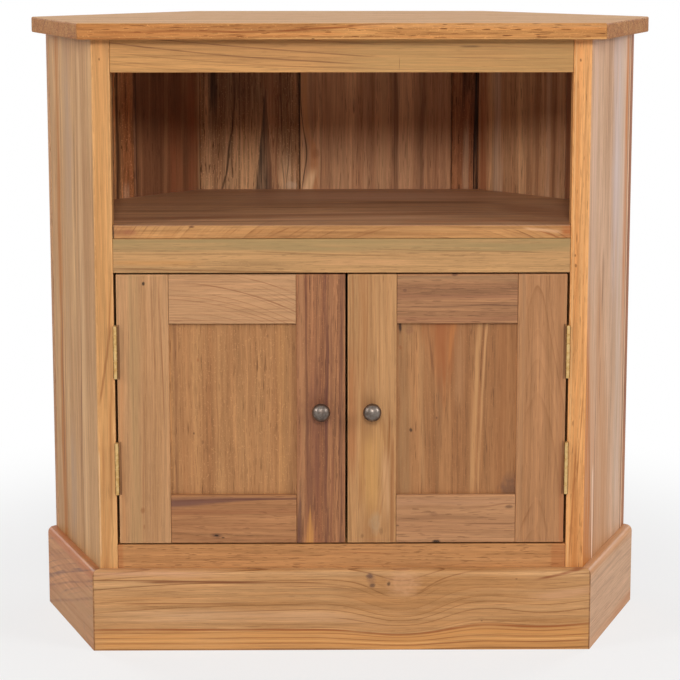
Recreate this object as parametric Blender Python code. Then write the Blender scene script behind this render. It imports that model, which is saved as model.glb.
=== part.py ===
# Corner cabinet in solid teak: an open compartment above a cupboard with two framed doors.
# Metres, +Z up. The front faces -Y and the cabinet stands on Z = 0. In plan it has six sides:
# a front, two sides that flare outward, two back walls at 45 degrees and a short flat back.
# The plan is drawn with Y = 0 on the front plane of the face frame, Y growing toward the back.

import math

import bmesh
import bpy
from mathutils import Matrix, Vector

for old in list(bpy.data.objects):
    bpy.data.objects.remove(old, do_unlink=True)

# Clearance between pieces that touch on the real cabinet
seam = 0.0003

# Plan of the carcass
cabinet_height = 0.750
front_width = 0.580
body_width = 0.732
back_width = 0.380
side_depth = 0.185
wall_angle = math.radians(45)

# Boards of the carcass
top_thickness = 0.019
top_overhang = 0.020
side_thickness = 0.018
back_thickness = 0.012
shelf_thickness = 0.016
bottom_thickness = 0.016
cleat_size = 0.018
cleat_end_gap = 0.020

# Nominal widths of the upright back boards, planed alike until they fill their wall
centre_left_board = 0.133
centre_middle_board = 0.202
centre_right_strip = 0.035
left_wall_inner_board = 0.116
left_wall_strip = 0.035
left_wall_outer_board = 0.105
right_wall_inner_board = 0.151
right_wall_outer_board = 0.105

# Face frame
frame_thickness = 0.020
stile_face = 0.0216
top_rail_face = 0.0388
middle_rail_face = 0.0405
bottom_rail_height = 0.060
bottom_rail_show = 0.029
frame_tenon_length = 0.008
frame_tenon_thickness = 0.008
frame_tenon_shoulder = 0.006

# Plinth boards, applied over the foot of the carcass
plinth_height = 0.099
plinth_thickness = 0.012
plinth_round = 0.0065

# Doors
door_height = 0.326
door_thickness = 0.020
door_stile = 0.058
left_hinge_stile = 0.0615
door_rail = 0.059
door_top_gap = 0.0018
door_bottom_gap = 0.0017
meeting_gap = 0.0026
meeting_shift = 0.0055
panel_thickness = 0.0074
panel_setback = 0.006
panel_room = 0.001
groove_depth = 0.009

# Butt hinges: two leaves lie in the gap beside the door, the barrel stands before the face
hinge_length = 0.0635
hinge_end_distance = 0.0925
leaf_thickness = 0.0009
leaf_play = 0.0004
leaf_width = 0.014
barrel_radius = 0.0028
barrel_clearance = 0.0003
pin_radius = 0.0012
knuckle_count = 6

# Knobs and the screws that hold them
knob_radius = 0.011
knob_head_half_length = 0.0085
knob_neck_length = 0.005
knob_neck_radius = 0.0042
knob_foot_radius = 0.0072
knob_foot_thickness = 0.0018
knob_bore_depth = 0.013
knob_screw_radius = 0.0018
knob_screw_head_radius = 0.0042
knob_screw_head_thickness = 0.0024

# Magnetic catches behind the meeting line
catch_block_margin = 0.007
catch_block_depth = 0.032
catch_width = 0.040
catch_depth = 0.014
catch_height = 0.013
catch_spacing = 0.066
strike_thickness = 0.001
strike_width = 0.030

# Eased edges
board_easing = 0.0010
top_easing = 0.0018
frame_easing = 0.0006
back_easing = 0.0014

# Sizes that follow from those above
body_depth = side_depth + (body_width - back_width) / 2 * math.tan(wall_angle)
knob_head_start = math.asin(knob_neck_radius / knob_radius)
knob_head_length = knob_head_half_length * (1 + math.cos(knob_head_start))
knob_reach = knob_foot_thickness + knob_neck_length + knob_head_length
front_reach = max(top_overhang, knob_reach)
front_y = (front_reach - body_depth) / 2
opening_half = front_width / 2 - stile_face
carcass_top = cabinet_height - top_thickness
door_sill = plinth_height + bottom_rail_show
door_bottom = door_sill + door_bottom_gap
door_top = door_bottom + door_height
door_head = door_top + door_top_gap
shelf_underside = door_head + middle_rail_face
shelf_height = shelf_underside + shelf_thickness
hinge_gap = 2 * leaf_thickness + leaf_play + 2 * seam
pin_distance = barrel_radius + barrel_clearance
axis_x = opening_half - hinge_gap / 2
knob_height = (door_top + door_bottom) / 2


def srgb(red, green, blue):
    return tuple(((c / 255 + 0.055) / 1.055) ** 2.4 for c in (red, green, blue)) + (1.0,)


finishes = {
    "teak_light": (srgb(200, 152, 104), 0.50, 0.0),
    "teak_orange": (srgb(206, 146, 86), 0.48, 0.0),
    "teak_beige": (srgb(188, 150, 114), 0.52, 0.0),
    "teak_brown": (srgb(176, 126, 84), 0.52, 0.0),
    "teak_dark": (srgb(150, 100, 62), 0.55, 0.0),
    "brass": (srgb(205, 172, 98), 0.32, 1.0),
    "pewter": (srgb(88, 82, 78), 0.42, 1.0),
    "steel": (srgb(150, 150, 150), 0.35, 1.0),
    "catch_plastic": (srgb(92, 62, 42), 0.55, 0.0),
}


def own_material(piece_name, finish):
    colour, roughness, metallic = finishes[finish]
    material = bpy.data.materials.new(piece_name + "_" + finish)
    material.use_nodes = True
    shader = material.node_tree.nodes["Principled BSDF"]
    shader.inputs["Base Color"].default_value = colour
    shader.inputs["Roughness"].default_value = roughness
    shader.inputs["Metallic"].default_value = metallic
    return material


# Everything hangs on one empty, and each door on an empty that lies on its hinge axis
def make_empty(name, place, parent=None):
    empty = bpy.data.objects.new(name, None)
    empty.location = place
    empty.parent = parent
    bpy.context.scene.collection.objects.link(empty)
    return empty


plan_origin = make_empty("plan_origin", (0, front_y, 0))
door_axes = {
    "left": make_empty("left_door_axis", (-axis_x, -pin_distance, 0), plan_origin),
    "right": make_empty("right_door_axis", (axis_x, -pin_distance, 0), plan_origin),
}
side_sign = {"left": -1, "right": 1}


def mesh_object(name, shape, smooth_angle=None):
    mesh = bpy.data.meshes.new(name)
    bmesh.ops.recalc_face_normals(shape, faces=shape.faces)
    shape.to_mesh(mesh)
    shape.free()
    if smooth_angle:
        mesh.shade_smooth()
        mesh.set_sharp_from_angle(angle=math.radians(smooth_angle))
    thing = bpy.data.objects.new(name, mesh)
    bpy.context.scene.collection.objects.link(thing)
    return thing


# A named piece keeps its plan coordinates, seen from the empty that carries it
def add_piece(name, shape, finish, door=None, smooth_angle=None):
    thing = mesh_object(name, shape, smooth_angle)
    thing.data.materials.append(own_material(name, finish))
    thing.parent = door_axes[door] if door else plan_origin
    if door:
        thing.location = -door_axes[door].location
    return thing


# A tool is a shape that cuts or joins another and isn't a piece of the cabinet
def add_tool(name, shape):
    tool = mesh_object(name, shape)
    tool.hide_render = True
    tool.display_type = "WIRE"
    return tool


def combine(piece, operation, shapes):
    for number, shape in enumerate(shapes):
        tool = add_tool(piece.name + "_" + operation.lower() + "_tool", shape)
        tool.parent = piece.parent
        tool.location = piece.location
        step = piece.modifiers.new(operation.title() + " " + str(number + 1), "BOOLEAN")
        step.operation = operation
        step.solver = "EXACT"
        step.object = tool


# Plan lines of the right half, each as an outward normal and a distance from the origin
def line_through(first, second):
    along = (Vector(second) - Vector(first)).normalized()
    normal = Vector((along.y, -along.x))
    return normal, normal.dot(Vector(first))


front_corner = (front_width / 2, 0)
outer_corner = (body_width / 2, side_depth)
back_corner = (back_width / 2, body_depth)
front_line = (Vector((0, -1)), 0.0)
side_line = line_through(front_corner, outer_corner)
wall_line = line_through(outer_corner, back_corner)
back_line = (Vector((0, 1)), body_depth)


# The point where two plan lines meet after each has moved outward by its own offset
def corner(line_a, offset_a, line_b, offset_b):
    (normal_a, reach_a), (normal_b, reach_b) = line_a, line_b
    pair = Matrix((normal_a, normal_b))
    return tuple(pair.inverted() @ Vector((reach_a + offset_a, reach_b + offset_b)))


def mirrored(points):
    return [(-x, y) for x, y in reversed(points)]


def both_halves(right_points):
    return list(right_points) + mirrored(right_points)


def on_side(side, right_points):
    return list(right_points) if side == "right" else mirrored(right_points)


def rectangle(x_a, x_b, y_a, y_b):
    x_low, x_high = sorted((x_a, x_b))
    y_low, y_high = sorted((y_a, y_b))
    return [(x_low, y_low), (x_high, y_low), (x_high, y_high), (x_low, y_high)]


def twice_area(points):
    pairs = zip(points, points[1:] + points[:1])
    return sum(a[0] * b[1] - b[0] * a[1] for a, b in pairs)


# Every contact face stands back by half a seam, so that two neighbours leave one seam
def stand_back(points, distance):
    points = [tuple(p) for p in points]
    if twice_area(points) < 0:
        points.reverse()
    lines = []
    for start, end in zip(points, points[1:] + points[:1]):
        lines.append(line_through(start, end))
    moved = []
    for before, after in zip(lines[-1:] + lines[:-1], lines):
        moved.append(corner(before, -distance, after, -distance))
    return moved


# An outline pushed along Z, or along X when the outline is drawn in Y and Z
def bar(outline, low, high, along="Z", easing=0.0, segments=1):
    shape = bmesh.new()
    if along == "Z":
        ring = [shape.verts.new((a, b, low)) for a, b in outline]
        push = Vector((0, 0, high - low))
    else:
        ring = [shape.verts.new((low, a, b)) for a, b in outline]
        push = Vector((high - low, 0, 0))
    face = shape.faces.new(ring)
    pushed = bmesh.ops.extrude_face_region(shape, geom=[face])
    moved = [v for v in pushed["geom"] if isinstance(v, bmesh.types.BMVert)]
    bmesh.ops.translate(shape, verts=moved, vec=push)
    if easing:
        ease(shape, shape.edges[:], easing, segments)
    return shape


def ease(shape, edges, width, segments):
    bmesh.ops.bevel(
        shape,
        geom=edges,
        offset=width,
        offset_type="OFFSET",
        segments=segments,
        profile=0.5,
        affect="EDGES",
        clamp_overlap=True,
        material=-1,
    )


# A bar with half a seam taken off all round, apart from the floor and the very top
def board(outline, low, high, along="Z", easing=board_easing, segments=1):
    trim_low = 0 if low == 0 and along == "Z" else seam / 2
    trim_high = 0 if high == cabinet_height else seam / 2
    return bar(stand_back(outline, seam / 2), low + trim_low, high - trim_high, along, easing, segments)


def plain_box(x_a, x_b, y_a, y_b, z_a, z_b):
    return bar(rectangle(x_a, x_b, y_a, y_b), min(z_a, z_b), max(z_a, z_b))


def upright_rod(x, y, low, high, radius, sides):
    shape = bmesh.new()
    bmesh.ops.create_cone(
        shape, cap_ends=True, segments=sides, radius1=radius, radius2=radius, depth=high - low
    )
    bmesh.ops.translate(shape, verts=shape.verts, vec=(x, y, (low + high) / 2))
    return shape


# A turned shape about a line along Y: the profile gives radius and Y from one pole to the other
def turned(profile, x, z, steps):
    shape = bmesh.new()
    chain = [shape.verts.new((radius, y, 0)) for radius, y in profile]
    edges = [shape.edges.new(pair) for pair in zip(chain, chain[1:])]
    bmesh.ops.spin(
        shape,
        geom=chain + edges,
        axis=(0, 1, 0),
        cent=(0, 0, 0),
        angle=2 * math.pi,
        steps=steps,
        use_merge=True,
    )
    bmesh.ops.remove_doubles(shape, verts=shape.verts, dist=0.00001)
    bmesh.ops.translate(shape, verts=shape.verts, vec=(x, 0, z))
    return shape


# Top board
def make_top_board():
    right = [
        corner(front_line, top_overhang, side_line, top_overhang),
        corner(side_line, top_overhang, wall_line, 0),
        corner(wall_line, 0, back_line, 0),
    ]
    shape = board(both_halves(right), carcass_top, cabinet_height, easing=top_easing, segments=2)
    add_piece("top_board", shape, "teak_light")


# Face frame: two stiles mitred to the sides, and three rails tenoned between them
def rail_levels():
    return {
        "top_rail": (carcass_top - top_rail_face, carcass_top),
        "middle_rail": (door_head, shelf_underside),
        "bottom_rail": (door_sill - bottom_rail_height, door_sill),
    }


def frame_tenon(low, high, x_a, x_b, room):
    y_mid = frame_thickness / 2
    y_half = frame_tenon_thickness / 2 + room
    z_low = low + frame_tenon_shoulder - room
    z_high = high - frame_tenon_shoulder + room
    return plain_box(x_a, x_b, y_mid - y_half, y_mid + y_half, z_low, z_high)


def make_face_frame():
    stile_points = [
        (opening_half, 0),
        front_corner,
        corner(side_line, -side_thickness, front_line, -frame_thickness),
        (opening_half, frame_thickness),
    ]
    tenon_tip = opening_half + frame_tenon_length
    for side, sign in side_sign.items():
        shape = board(on_side(side, stile_points), 0, carcass_top, easing=frame_easing)
        stile = add_piece(side + "_stile", shape, "teak_orange")
        mortises = []
        for low, high in rail_levels().values():
            start = sign * (opening_half - seam)
            end = sign * (tenon_tip + seam)
            mortises.append(frame_tenon(low, high, start, end, seam))
        combine(stile, "DIFFERENCE", mortises)
    for name, (low, high) in rail_levels().items():
        outline = rectangle(-opening_half, opening_half, 0, frame_thickness)
        rail = add_piece(name, board(outline, low, high, easing=frame_easing), "teak_light")
        combine(rail, "UNION", [frame_tenon(low, high, -tenon_tip, tenon_tip, 0)])


# Side panels, mitred to the stiles and covered at the rear by the back walls
def make_side_panels():
    points = [
        front_corner,
        corner(side_line, 0, wall_line, -back_thickness),
        corner(side_line, -side_thickness, wall_line, -back_thickness),
        corner(side_line, -side_thickness, front_line, -frame_thickness),
    ]
    for side in side_sign:
        shape = board(on_side(side, points), 0, carcass_top)
        add_piece(side + "_side_panel", shape, "teak_beige")


# Back walls of upright boards: distances of the joints from the start of a wall
def joint_places(nominal_widths, length):
    share = length / sum(nominal_widths)
    places = [0]
    for width in nominal_widths:
        places.append(places[-1] + width * share)
    return places


def add_back_board(name, outline, finish):
    shape = board(outline, 0, carcass_top, easing=back_easing)
    add_piece(name, shape, finish)


def make_centre_back():
    inner_half = corner(wall_line, -back_thickness, back_line, -back_thickness)[0]
    outer_half = back_width / 2
    inner_y = body_depth - back_thickness
    nominal = (centre_left_board, centre_middle_board, centre_right_strip)
    inside = [place - inner_half for place in joint_places(nominal, 2 * inner_half)]
    outside = [-outer_half] + inside[1:-1] + [outer_half]
    names = ("left", "middle", "right")
    tones = ("teak_brown", "teak_light", "teak_brown")
    for number, name in enumerate(names):
        outline = [
            (inside[number], inner_y),
            (inside[number + 1], inner_y),
            (outside[number + 1], body_depth),
            (outside[number], body_depth),
        ]
        add_back_board("centre_back_board_" + name, outline, tones[number])


def make_wall(side, nominal_widths, tones):
    kink_inner = Vector(corner(wall_line, -back_thickness, back_line, -back_thickness))
    end_inner = Vector(corner(side_line, 0, wall_line, -back_thickness))
    along = (end_inner - kink_inner).normalized()
    through = wall_line[0] * back_thickness
    places = joint_places(nominal_widths, (end_inner - kink_inner).length)
    inside = [kink_inner + along * place for place in places]
    outside = [Vector(back_corner)] + [p + through for p in inside[1:-1]] + [Vector(outer_corner)]
    for number in range(len(nominal_widths)):
        outline = [inside[number], inside[number + 1], outside[number + 1], outside[number]]
        name = side + "_back_board_" + str(number + 1)
        add_back_board(name, on_side(side, [tuple(p) for p in outline]), tones[number])


# Shelf and bottom board
def inner_points():
    return [
        corner(side_line, -side_thickness, front_line, -frame_thickness),
        corner(side_line, -side_thickness, wall_line, -back_thickness),
        corner(wall_line, -back_thickness, back_line, -back_thickness),
    ]


def make_shelves():
    nose = [(opening_half, 0), (opening_half, frame_thickness)]
    outline = both_halves(nose + inner_points())
    add_piece("shelf_board", board(outline, shelf_underside, shelf_height), "teak_brown")
    outline = both_halves(inner_points())
    shape = board(outline, door_sill - bottom_thickness, door_sill)
    add_piece("bottom_board", shape, "teak_brown")


# Cleats that carry the shelf and the bottom board, and hold the top board down
def make_cleats():
    levels = {
        "top": carcass_top,
        "shelf": shelf_underside,
        "bottom": door_sill - bottom_thickness,
    }
    near = -(frame_thickness + cleat_end_gap)
    far = -(side_depth - cleat_end_gap)
    inner = -side_thickness
    side_points = [
        corner(side_line, inner, front_line, near),
        corner(side_line, inner, front_line, far),
        corner(side_line, inner - cleat_size, front_line, far),
        corner(side_line, inner - cleat_size, front_line, near),
    ]
    half = corner(wall_line, -back_thickness, back_line, -back_thickness)[0] - cleat_end_gap
    rear = body_depth - back_thickness
    for level, top in levels.items():
        low = top - cleat_size
        for side in side_sign:
            shape = board(on_side(side, side_points), low, top)
            add_piece(level + "_cleat_" + side, shape, "teak_dark")
        if level != "top":
            shape = board(rectangle(-half, half, rear - cleat_size, rear), low, top)
            add_piece(level + "_cleat_back", shape, "teak_dark")


# Plinth boards, mitred at the front corners, with their outer top edge rounded over
def plinth_board(outline):
    shape = board(outline, 0, plinth_height, easing=0)
    top = plinth_height - seam / 2
    upper = [e for e in shape.edges if min(v.co.z for v in e.verts) > top - seam]
    return shape, upper


def add_plinth(name, outline, is_outside):
    shape, upper = plinth_board(outline)
    outer = [e for e in upper if all(is_outside(v.co) for v in e.verts)]
    ease(shape, outer, plinth_round, 4)
    add_piece(name, shape, "teak_light", smooth_angle=30)


def beyond(line, distance):
    normal, reach = line
    return lambda p: normal.dot(Vector((abs(p.x), p.y))) > reach + distance


def make_plinth():
    nose = corner(front_line, plinth_thickness, side_line, plinth_thickness)
    half_way = plinth_thickness / 2
    front = both_halves([front_corner, nose][::-1])
    add_plinth("plinth_front", front, beyond(front_line, half_way))
    points = [
        front_corner,
        nose,
        corner(side_line, plinth_thickness, wall_line, 0),
        corner(side_line, 0, wall_line, 0),
    ]
    for side in side_sign:
        add_plinth("plinth_" + side, on_side(side, points), beyond(side_line, half_way))


# A door frame part is a bar with a groove for the panel along its inner edge
def grooved_profile(edge, groove_edge):
    toward = 1 if groove_edge > edge else -1
    bottom = groove_edge - toward * groove_depth
    slot_near = panel_setback
    slot_far = panel_setback + panel_thickness + 2 * seam
    trim = seam / 2
    return [
        (edge + toward * trim, trim),
        (groove_edge - toward * trim, trim),
        (groove_edge - toward * trim, slot_near),
        (bottom, slot_near),
        (bottom, slot_far),
        (groove_edge - toward * trim, slot_far),
        (groove_edge - toward * trim, door_thickness - trim),
        (edge + toward * trim, door_thickness - trim),
    ]


def make_door(side, hinge_stile_width):
    sign = side_sign[side]
    hinge_edge = sign * (opening_half - hinge_gap)
    free_edge = meeting_shift + sign * meeting_gap / 2
    hinge_inner = hinge_edge - sign * hinge_stile_width
    lock_inner = free_edge + sign * door_stile
    finish = {"hinge": "teak_brown", "lock": "teak_brown", "rail": "teak_light", "panel": "teak_brown"}

    stiles = {
        "hinge_stile": (hinge_edge, hinge_inner, finish["hinge"]),
        "lock_stile": (free_edge, lock_inner, finish["lock"]),
    }
    for name, (edge, inner, tone) in stiles.items():
        shape = bar(grooved_profile(edge, inner), door_bottom, door_top, easing=frame_easing)
        piece = add_piece(side + "_door_" + name, shape, tone, side)
        if name == "lock_stile":
            combine(piece, "DIFFERENCE", [knob_hole((free_edge + lock_inner) / 2)])

    shoulder_low, shoulder_high = sorted((hinge_inner, lock_inner))
    tenon_low = shoulder_low - groove_depth + seam
    tenon_high = shoulder_high + groove_depth - seam
    slot_low = panel_setback + seam
    slot_high = slot_low + panel_thickness
    rails = {"top_rail": (door_top, -1), "bottom_rail": (door_bottom, 1)}
    for name, (edge, upward) in rails.items():
        inner = edge + upward * door_rail
        profile = [(y, z) for z, y in grooved_profile(edge, inner)]
        shape = bar(profile, shoulder_low + seam / 2, shoulder_high - seam / 2, "X", frame_easing)
        piece = add_piece(side + "_door_" + name, shape, finish["rail"], side)
        tongue_end = inner - upward * (groove_depth + seam)
        tongue_start = edge + upward * (seam + frame_easing)
        tongue = plain_box(tenon_low, tenon_high, slot_low, slot_high, tongue_start, tongue_end)
        combine(piece, "UNION", [tongue])

    reach = groove_depth - panel_room
    panel_low = door_bottom + door_rail - reach
    panel_high = door_top - door_rail + reach
    shape = plain_box(
        shoulder_low - reach, shoulder_high + reach, slot_low, slot_high, panel_low, panel_high
    )
    add_piece(side + "_door_panel", shape, finish["panel"], side)
    make_knob(side, (free_edge + lock_inner) / 2)
    make_catch(side)


# Knob, with a blind bore for the screw that comes through the lock stile
def knob_hole(x):
    shape = turned(
        [
            (0, -door_thickness),
            (knob_screw_radius + seam, -door_thickness),
            (knob_screw_radius + seam, 2 * door_thickness),
            (0, 2 * door_thickness),
        ],
        x,
        knob_height,
        12,
    )
    return shape


def make_knob(side, x):
    centre = knob_reach - knob_head_half_length
    bore = knob_screw_radius + seam
    seat = -seam
    profile = [
        (0, -knob_bore_depth),
        (bore, -knob_bore_depth),
        (bore, seat),
        (knob_foot_radius, seat),
        (knob_foot_radius, -knob_foot_thickness),
        (knob_neck_radius, -knob_foot_thickness - knob_neck_length / 4),
    ]
    turns = 8
    for number in range(turns):
        angle = knob_head_start + (math.pi - knob_head_start) * number / turns
        radius = knob_radius * math.sin(angle)
        profile.append((radius, -centre + knob_head_half_length * math.cos(angle)))
    profile.append((0, -knob_reach))
    shape = turned(profile, x, knob_height, 20)
    add_piece(side + "_knob", shape, "pewter", side, smooth_angle=40)

    back = door_thickness + seam
    head_edge = 0.4 * knob_screw_head_thickness
    profile = [
        (0, -(knob_bore_depth - 2 * seam)),
        (knob_screw_radius, -(knob_bore_depth - 2 * seam)),
        (knob_screw_radius, back),
        (knob_screw_head_radius, back),
        (knob_screw_head_radius, back + head_edge),
        (0.6 * knob_screw_head_radius, back + knob_screw_head_thickness),
        (0, back + knob_screw_head_thickness),
    ]
    shape = turned(profile, x, knob_height, 10)
    add_piece(side + "_knob_screw", shape, "steel", side, smooth_angle=40)


# Hinges: knuckles alternate between the leaf on the frame and the leaf on the door
def hinge_leaf(sign, low, length, on_frame):
    inward = -sign if on_frame else sign
    from_axis = -inward * leaf_play / 2
    x = sign * axis_x
    near = x + from_axis
    far = near - inward * leaf_thickness
    step = length / knuckle_count
    zones = []
    for number in range(knuckle_count):
        if (number % 2 == 0) == on_frame:
            zones.append((low + number * step + seam / 2, low + (number + 1) * step - seam / 2))
    plate = plain_box(near, far, seam, leaf_width, low, low + length)
    joined = []
    for z_low, z_high in zones:
        joined.append(plain_box(near, far, -pin_distance, 4 * seam, z_low, z_high))
        joined.append(upright_rod(x, -pin_distance, z_low, z_high, barrel_radius, 14))
    bore = upright_rod(x, -pin_distance, low - seam, low + length + seam, pin_radius + seam, 10)
    return plate, joined, bore


def make_hinge(side, label, centre):
    sign = side_sign[side]
    low = centre - hinge_length / 2
    name = side + "_" + label + "_hinge"
    for on_frame in (True, False):
        plate, joined, bore = hinge_leaf(sign, low, hinge_length, on_frame)
        leaf_name = name + ("_frame_leaf" if on_frame else "_door_leaf")
        leaf = add_piece(leaf_name, plate, "brass", None if on_frame else side)
        combine(leaf, "UNION", joined)
        combine(leaf, "DIFFERENCE", [bore])
    shape = upright_rod(sign * axis_x, -pin_distance, low, low + hinge_length, pin_radius, 10)
    add_piece(name + "_pin", shape, "brass")


def make_hinges():
    for side in side_sign:
        make_hinge(side, "upper", door_top - hinge_end_distance)
        make_hinge(side, "lower", door_bottom + hinge_end_distance)


# Magnetic catch for one door, under a block behind the middle rail, and its strike plate
def make_catch(side):
    middle = meeting_shift + side_sign[side] * catch_spacing / 2
    top = door_head
    front = door_thickness + strike_thickness + seam
    outline = rectangle(middle - catch_width / 2, middle + catch_width / 2, front, front + catch_depth)
    shape = board(outline, top - catch_height, top, easing=frame_easing)
    add_piece(side + "_catch", shape, "catch_plastic")
    high = min(door_top, top) - seam
    low = top - catch_height
    face = door_thickness + seam / 2
    shape = plain_box(
        middle - strike_width / 2, middle + strike_width / 2, face, face + strike_thickness, low, high
    )
    add_piece(side + "_strike_plate", shape, "steel", side)


def make_catch_block():
    half = (catch_spacing + catch_width) / 2 + catch_block_margin
    left = meeting_shift - half
    right = meeting_shift + half
    outline = rectangle(left, right, frame_thickness, frame_thickness + catch_block_depth)
    add_piece("catch_block", board(outline, door_head, shelf_underside), "teak_dark")


make_top_board()
make_face_frame()
make_side_panels()
make_centre_back()
left_wall = (left_wall_inner_board, left_wall_strip, left_wall_outer_board)
right_wall = (right_wall_inner_board, right_wall_outer_board)
make_wall("left", left_wall, ("teak_light", "teak_dark", "teak_brown"))
make_wall("right", right_wall, ("teak_light", "teak_brown"))
make_shelves()
make_cleats()
make_plinth()
make_catch_block()
make_door("left", left_hinge_stile)
make_door("right", door_stile)
make_hinges()
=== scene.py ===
import bpy
import bmesh
import math
from functools import partial
from mathutils import Matrix, Vector


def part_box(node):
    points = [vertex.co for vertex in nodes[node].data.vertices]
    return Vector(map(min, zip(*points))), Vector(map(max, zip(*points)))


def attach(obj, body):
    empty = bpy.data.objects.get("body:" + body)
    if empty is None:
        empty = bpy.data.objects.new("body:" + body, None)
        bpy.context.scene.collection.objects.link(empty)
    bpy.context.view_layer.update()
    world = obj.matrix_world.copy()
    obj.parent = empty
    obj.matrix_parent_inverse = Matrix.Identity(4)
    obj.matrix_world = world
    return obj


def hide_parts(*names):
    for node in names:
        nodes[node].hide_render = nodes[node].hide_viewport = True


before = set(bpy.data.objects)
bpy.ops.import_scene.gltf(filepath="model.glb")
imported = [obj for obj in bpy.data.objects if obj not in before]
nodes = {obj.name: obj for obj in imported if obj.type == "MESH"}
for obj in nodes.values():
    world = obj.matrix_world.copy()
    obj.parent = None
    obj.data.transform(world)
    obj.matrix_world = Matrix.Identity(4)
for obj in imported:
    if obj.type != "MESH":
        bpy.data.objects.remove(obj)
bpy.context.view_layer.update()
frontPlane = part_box("top_rail")[0].y
print("frame in place,", len(nodes), "nodes")


# Camera, a little above the cabinet and looking slightly down
camera = {
    "distance": 2.394,
    "height": 0.8505,
    "aside": -0.0249,
    "pitch": 0.1557,
    "turn": 0.0095,
    "lens": 109.4,
    "shift": -0.12,
}
cameraData = bpy.data.cameras.new("camera")
cameraData.lens = camera["lens"]
cameraData.shift_y = camera["shift"]
cameraObject = bpy.data.objects.new("camera", cameraData)
cameraObject.location = (camera["aside"], frontPlane - camera["distance"], camera["height"])
cameraObject.rotation_euler = (math.pi / 2 - camera["pitch"], 0, -camera["turn"])
bpy.context.scene.collection.objects.link(cameraObject)
bpy.context.scene.camera = cameraObject
bpy.context.scene.view_settings.view_transform = "Standard"


# Short helpers for node trees: an input takes a number, a vector, a hex colour or another node's socket
def tint(code):
    parts = [int(code[i:i + 2], 16) / 255 for i in (0, 2, 4)]
    return (*[((part + 0.055) / 1.055) ** 2.4 for part in parts], 1.0)


def isSocket(value):
    return isinstance(value, bpy.types.NodeSocket)


def feed(socket, value):
    if isSocket(value):
        socket.id_data.links.new(value, socket)
    else:
        socket.default_value = tint(value) if isinstance(value, str) else value


def put(tree, kind, inputs=None, **settings):
    node = tree.nodes.new(kind)
    for key, value in settings.items():
        setattr(node, key, value)
    for key, value in (inputs or {}).items():
        feed(node.inputs[key], value)
    return node


def treeOf(*values):
    return next(value.id_data for value in values if isSocket(value))


def calc(operation, *values):
    return put(treeOf(*values), "ShaderNodeMath", dict(enumerate(values)), operation=operation).outputs[0]


def chain(operation, value, *others):
    for other in others:
        value = calc(operation, value, other)
    return value


add, minus, times, over = (partial(chain, kind) for kind in ("ADD", "SUBTRACT", "MULTIPLY", "DIVIDE"))
least, most = partial(chain, "MINIMUM"), partial(chain, "MAXIMUM")
absolute, timesAdd = partial(calc, "ABSOLUTE"), partial(calc, "MULTIPLY_ADD")


def vectorCalc(operation, a, b):
    inputs = {0: a, 3 if operation == "SCALE" else 1: b}
    return put(treeOf(a, b), "ShaderNodeVectorMath", inputs, operation=operation).outputs[0]


vectorAdd, vectorMinus, scaled = (partial(vectorCalc, kind) for kind in ("ADD", "SUBTRACT", "SCALE"))


def noise(vector, scale, detail=2.0, roughness=0.5):
    place = vectorCalc("MULTIPLY", vector, scale)
    inputs = {"Vector": place, "Scale": 1, "Detail": detail, "Roughness": roughness}
    return put(vector.id_data, "ShaderNodeTexNoise", inputs).outputs


def chance(value):
    return put(value.id_data, "ShaderNodeTexWhiteNoise", {"W": value}, noise_dimensions="1D").outputs


def ease(value, low, high, toLow=0.0, toHigh=1.0):
    inputs = dict(enumerate((value, low, high, toLow, toHigh)))
    return put(value.id_data, "ShaderNodeMapRange", inputs, interpolation_type="SMOOTHSTEP").outputs[0]


def blend(factor, a, b):
    return put(factor.id_data, "ShaderNodeMix", {0: factor, 6: a, 7: b}, data_type="RGBA").outputs[2]


def mixShaders(factor, a, b):
    inputs = {0: factor, 1: a.outputs[0], 2: b.outputs[0]}
    return put(factor.id_data, "ShaderNodeMixShader", inputs).outputs[0]


def split(vector):
    return put(vector.id_data, "ShaderNodeSeparateXYZ", {0: vector}).outputs


def makeGroup(name, settings, **results):
    tree = bpy.data.node_groups.new(name, "ShaderNodeTree")
    for way, sockets in (("INPUT", settings), ("OUTPUT", results)):
        for key, value in sockets.items():
            kind = "Color" if isinstance(value, str) else "Vector" if isinstance(value, tuple) else "Float"
            feed(tree.interface.new_socket(key, in_out=way, socket_type="NodeSocket" + kind), value)
    return tree, put(tree, "NodeGroupInput").outputs


# A group takes those settings that it has an input for
def useGroup(tree, group, settings):
    node = put(tree, "ShaderNodeGroup", node_tree=group)
    for key in settings:
        if key in node.inputs:
            feed(node.inputs[key], settings[key])
    return node.outputs


def newMaterial(name):
    material = bpy.data.materials.new(name)
    material.use_nodes = True
    return material, material.node_tree, material.node_tree.nodes["Principled BSDF"]


def finishShader(shader, color, roughness, height, bump):
    normal = put(height.id_data, "ShaderNodeBump", dict(bump, Height=height)).outputs["Normal"]
    feed(shader.inputs["Base Color"], color)
    feed(shader.inputs["Roughness"], roughness)
    feed(shader.inputs["Normal"], normal)


# Studio: white world, pale floor, five soft lamps
studio = {
    "worldStrength": 0.13,
    "floorSize": 9.0,
    "floorDrop": 0.0003,
    "floorShade": (0.79, 0.81),
    "shadowReach": (0.40, 1.0),
    "lamps": {
        "frontLamp": dict(place=(0.0, -3.4, 1.86), aim=(0, 0, 0.45), size=0.7, power=57),
        "leftLamp": dict(place=(-2.95, -1.6, 1.9), aim=(0, 0, 0.40), size=1.4, power=39),
        "rightLamp": dict(place=(2.95, -1.6, 1.9), aim=(0, 0, 0.40), size=1.4, power=43),
        "rearLeftLamp": dict(place=(-2.6, 2.4, 1.7), aim=(0, 0, 0.40), size=1.4, power=34),
        "rearRightLamp": dict(place=(2.6, 2.4, 1.7), aim=(0, 0, 0.40), size=1.4, power=34),
    },
}


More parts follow.
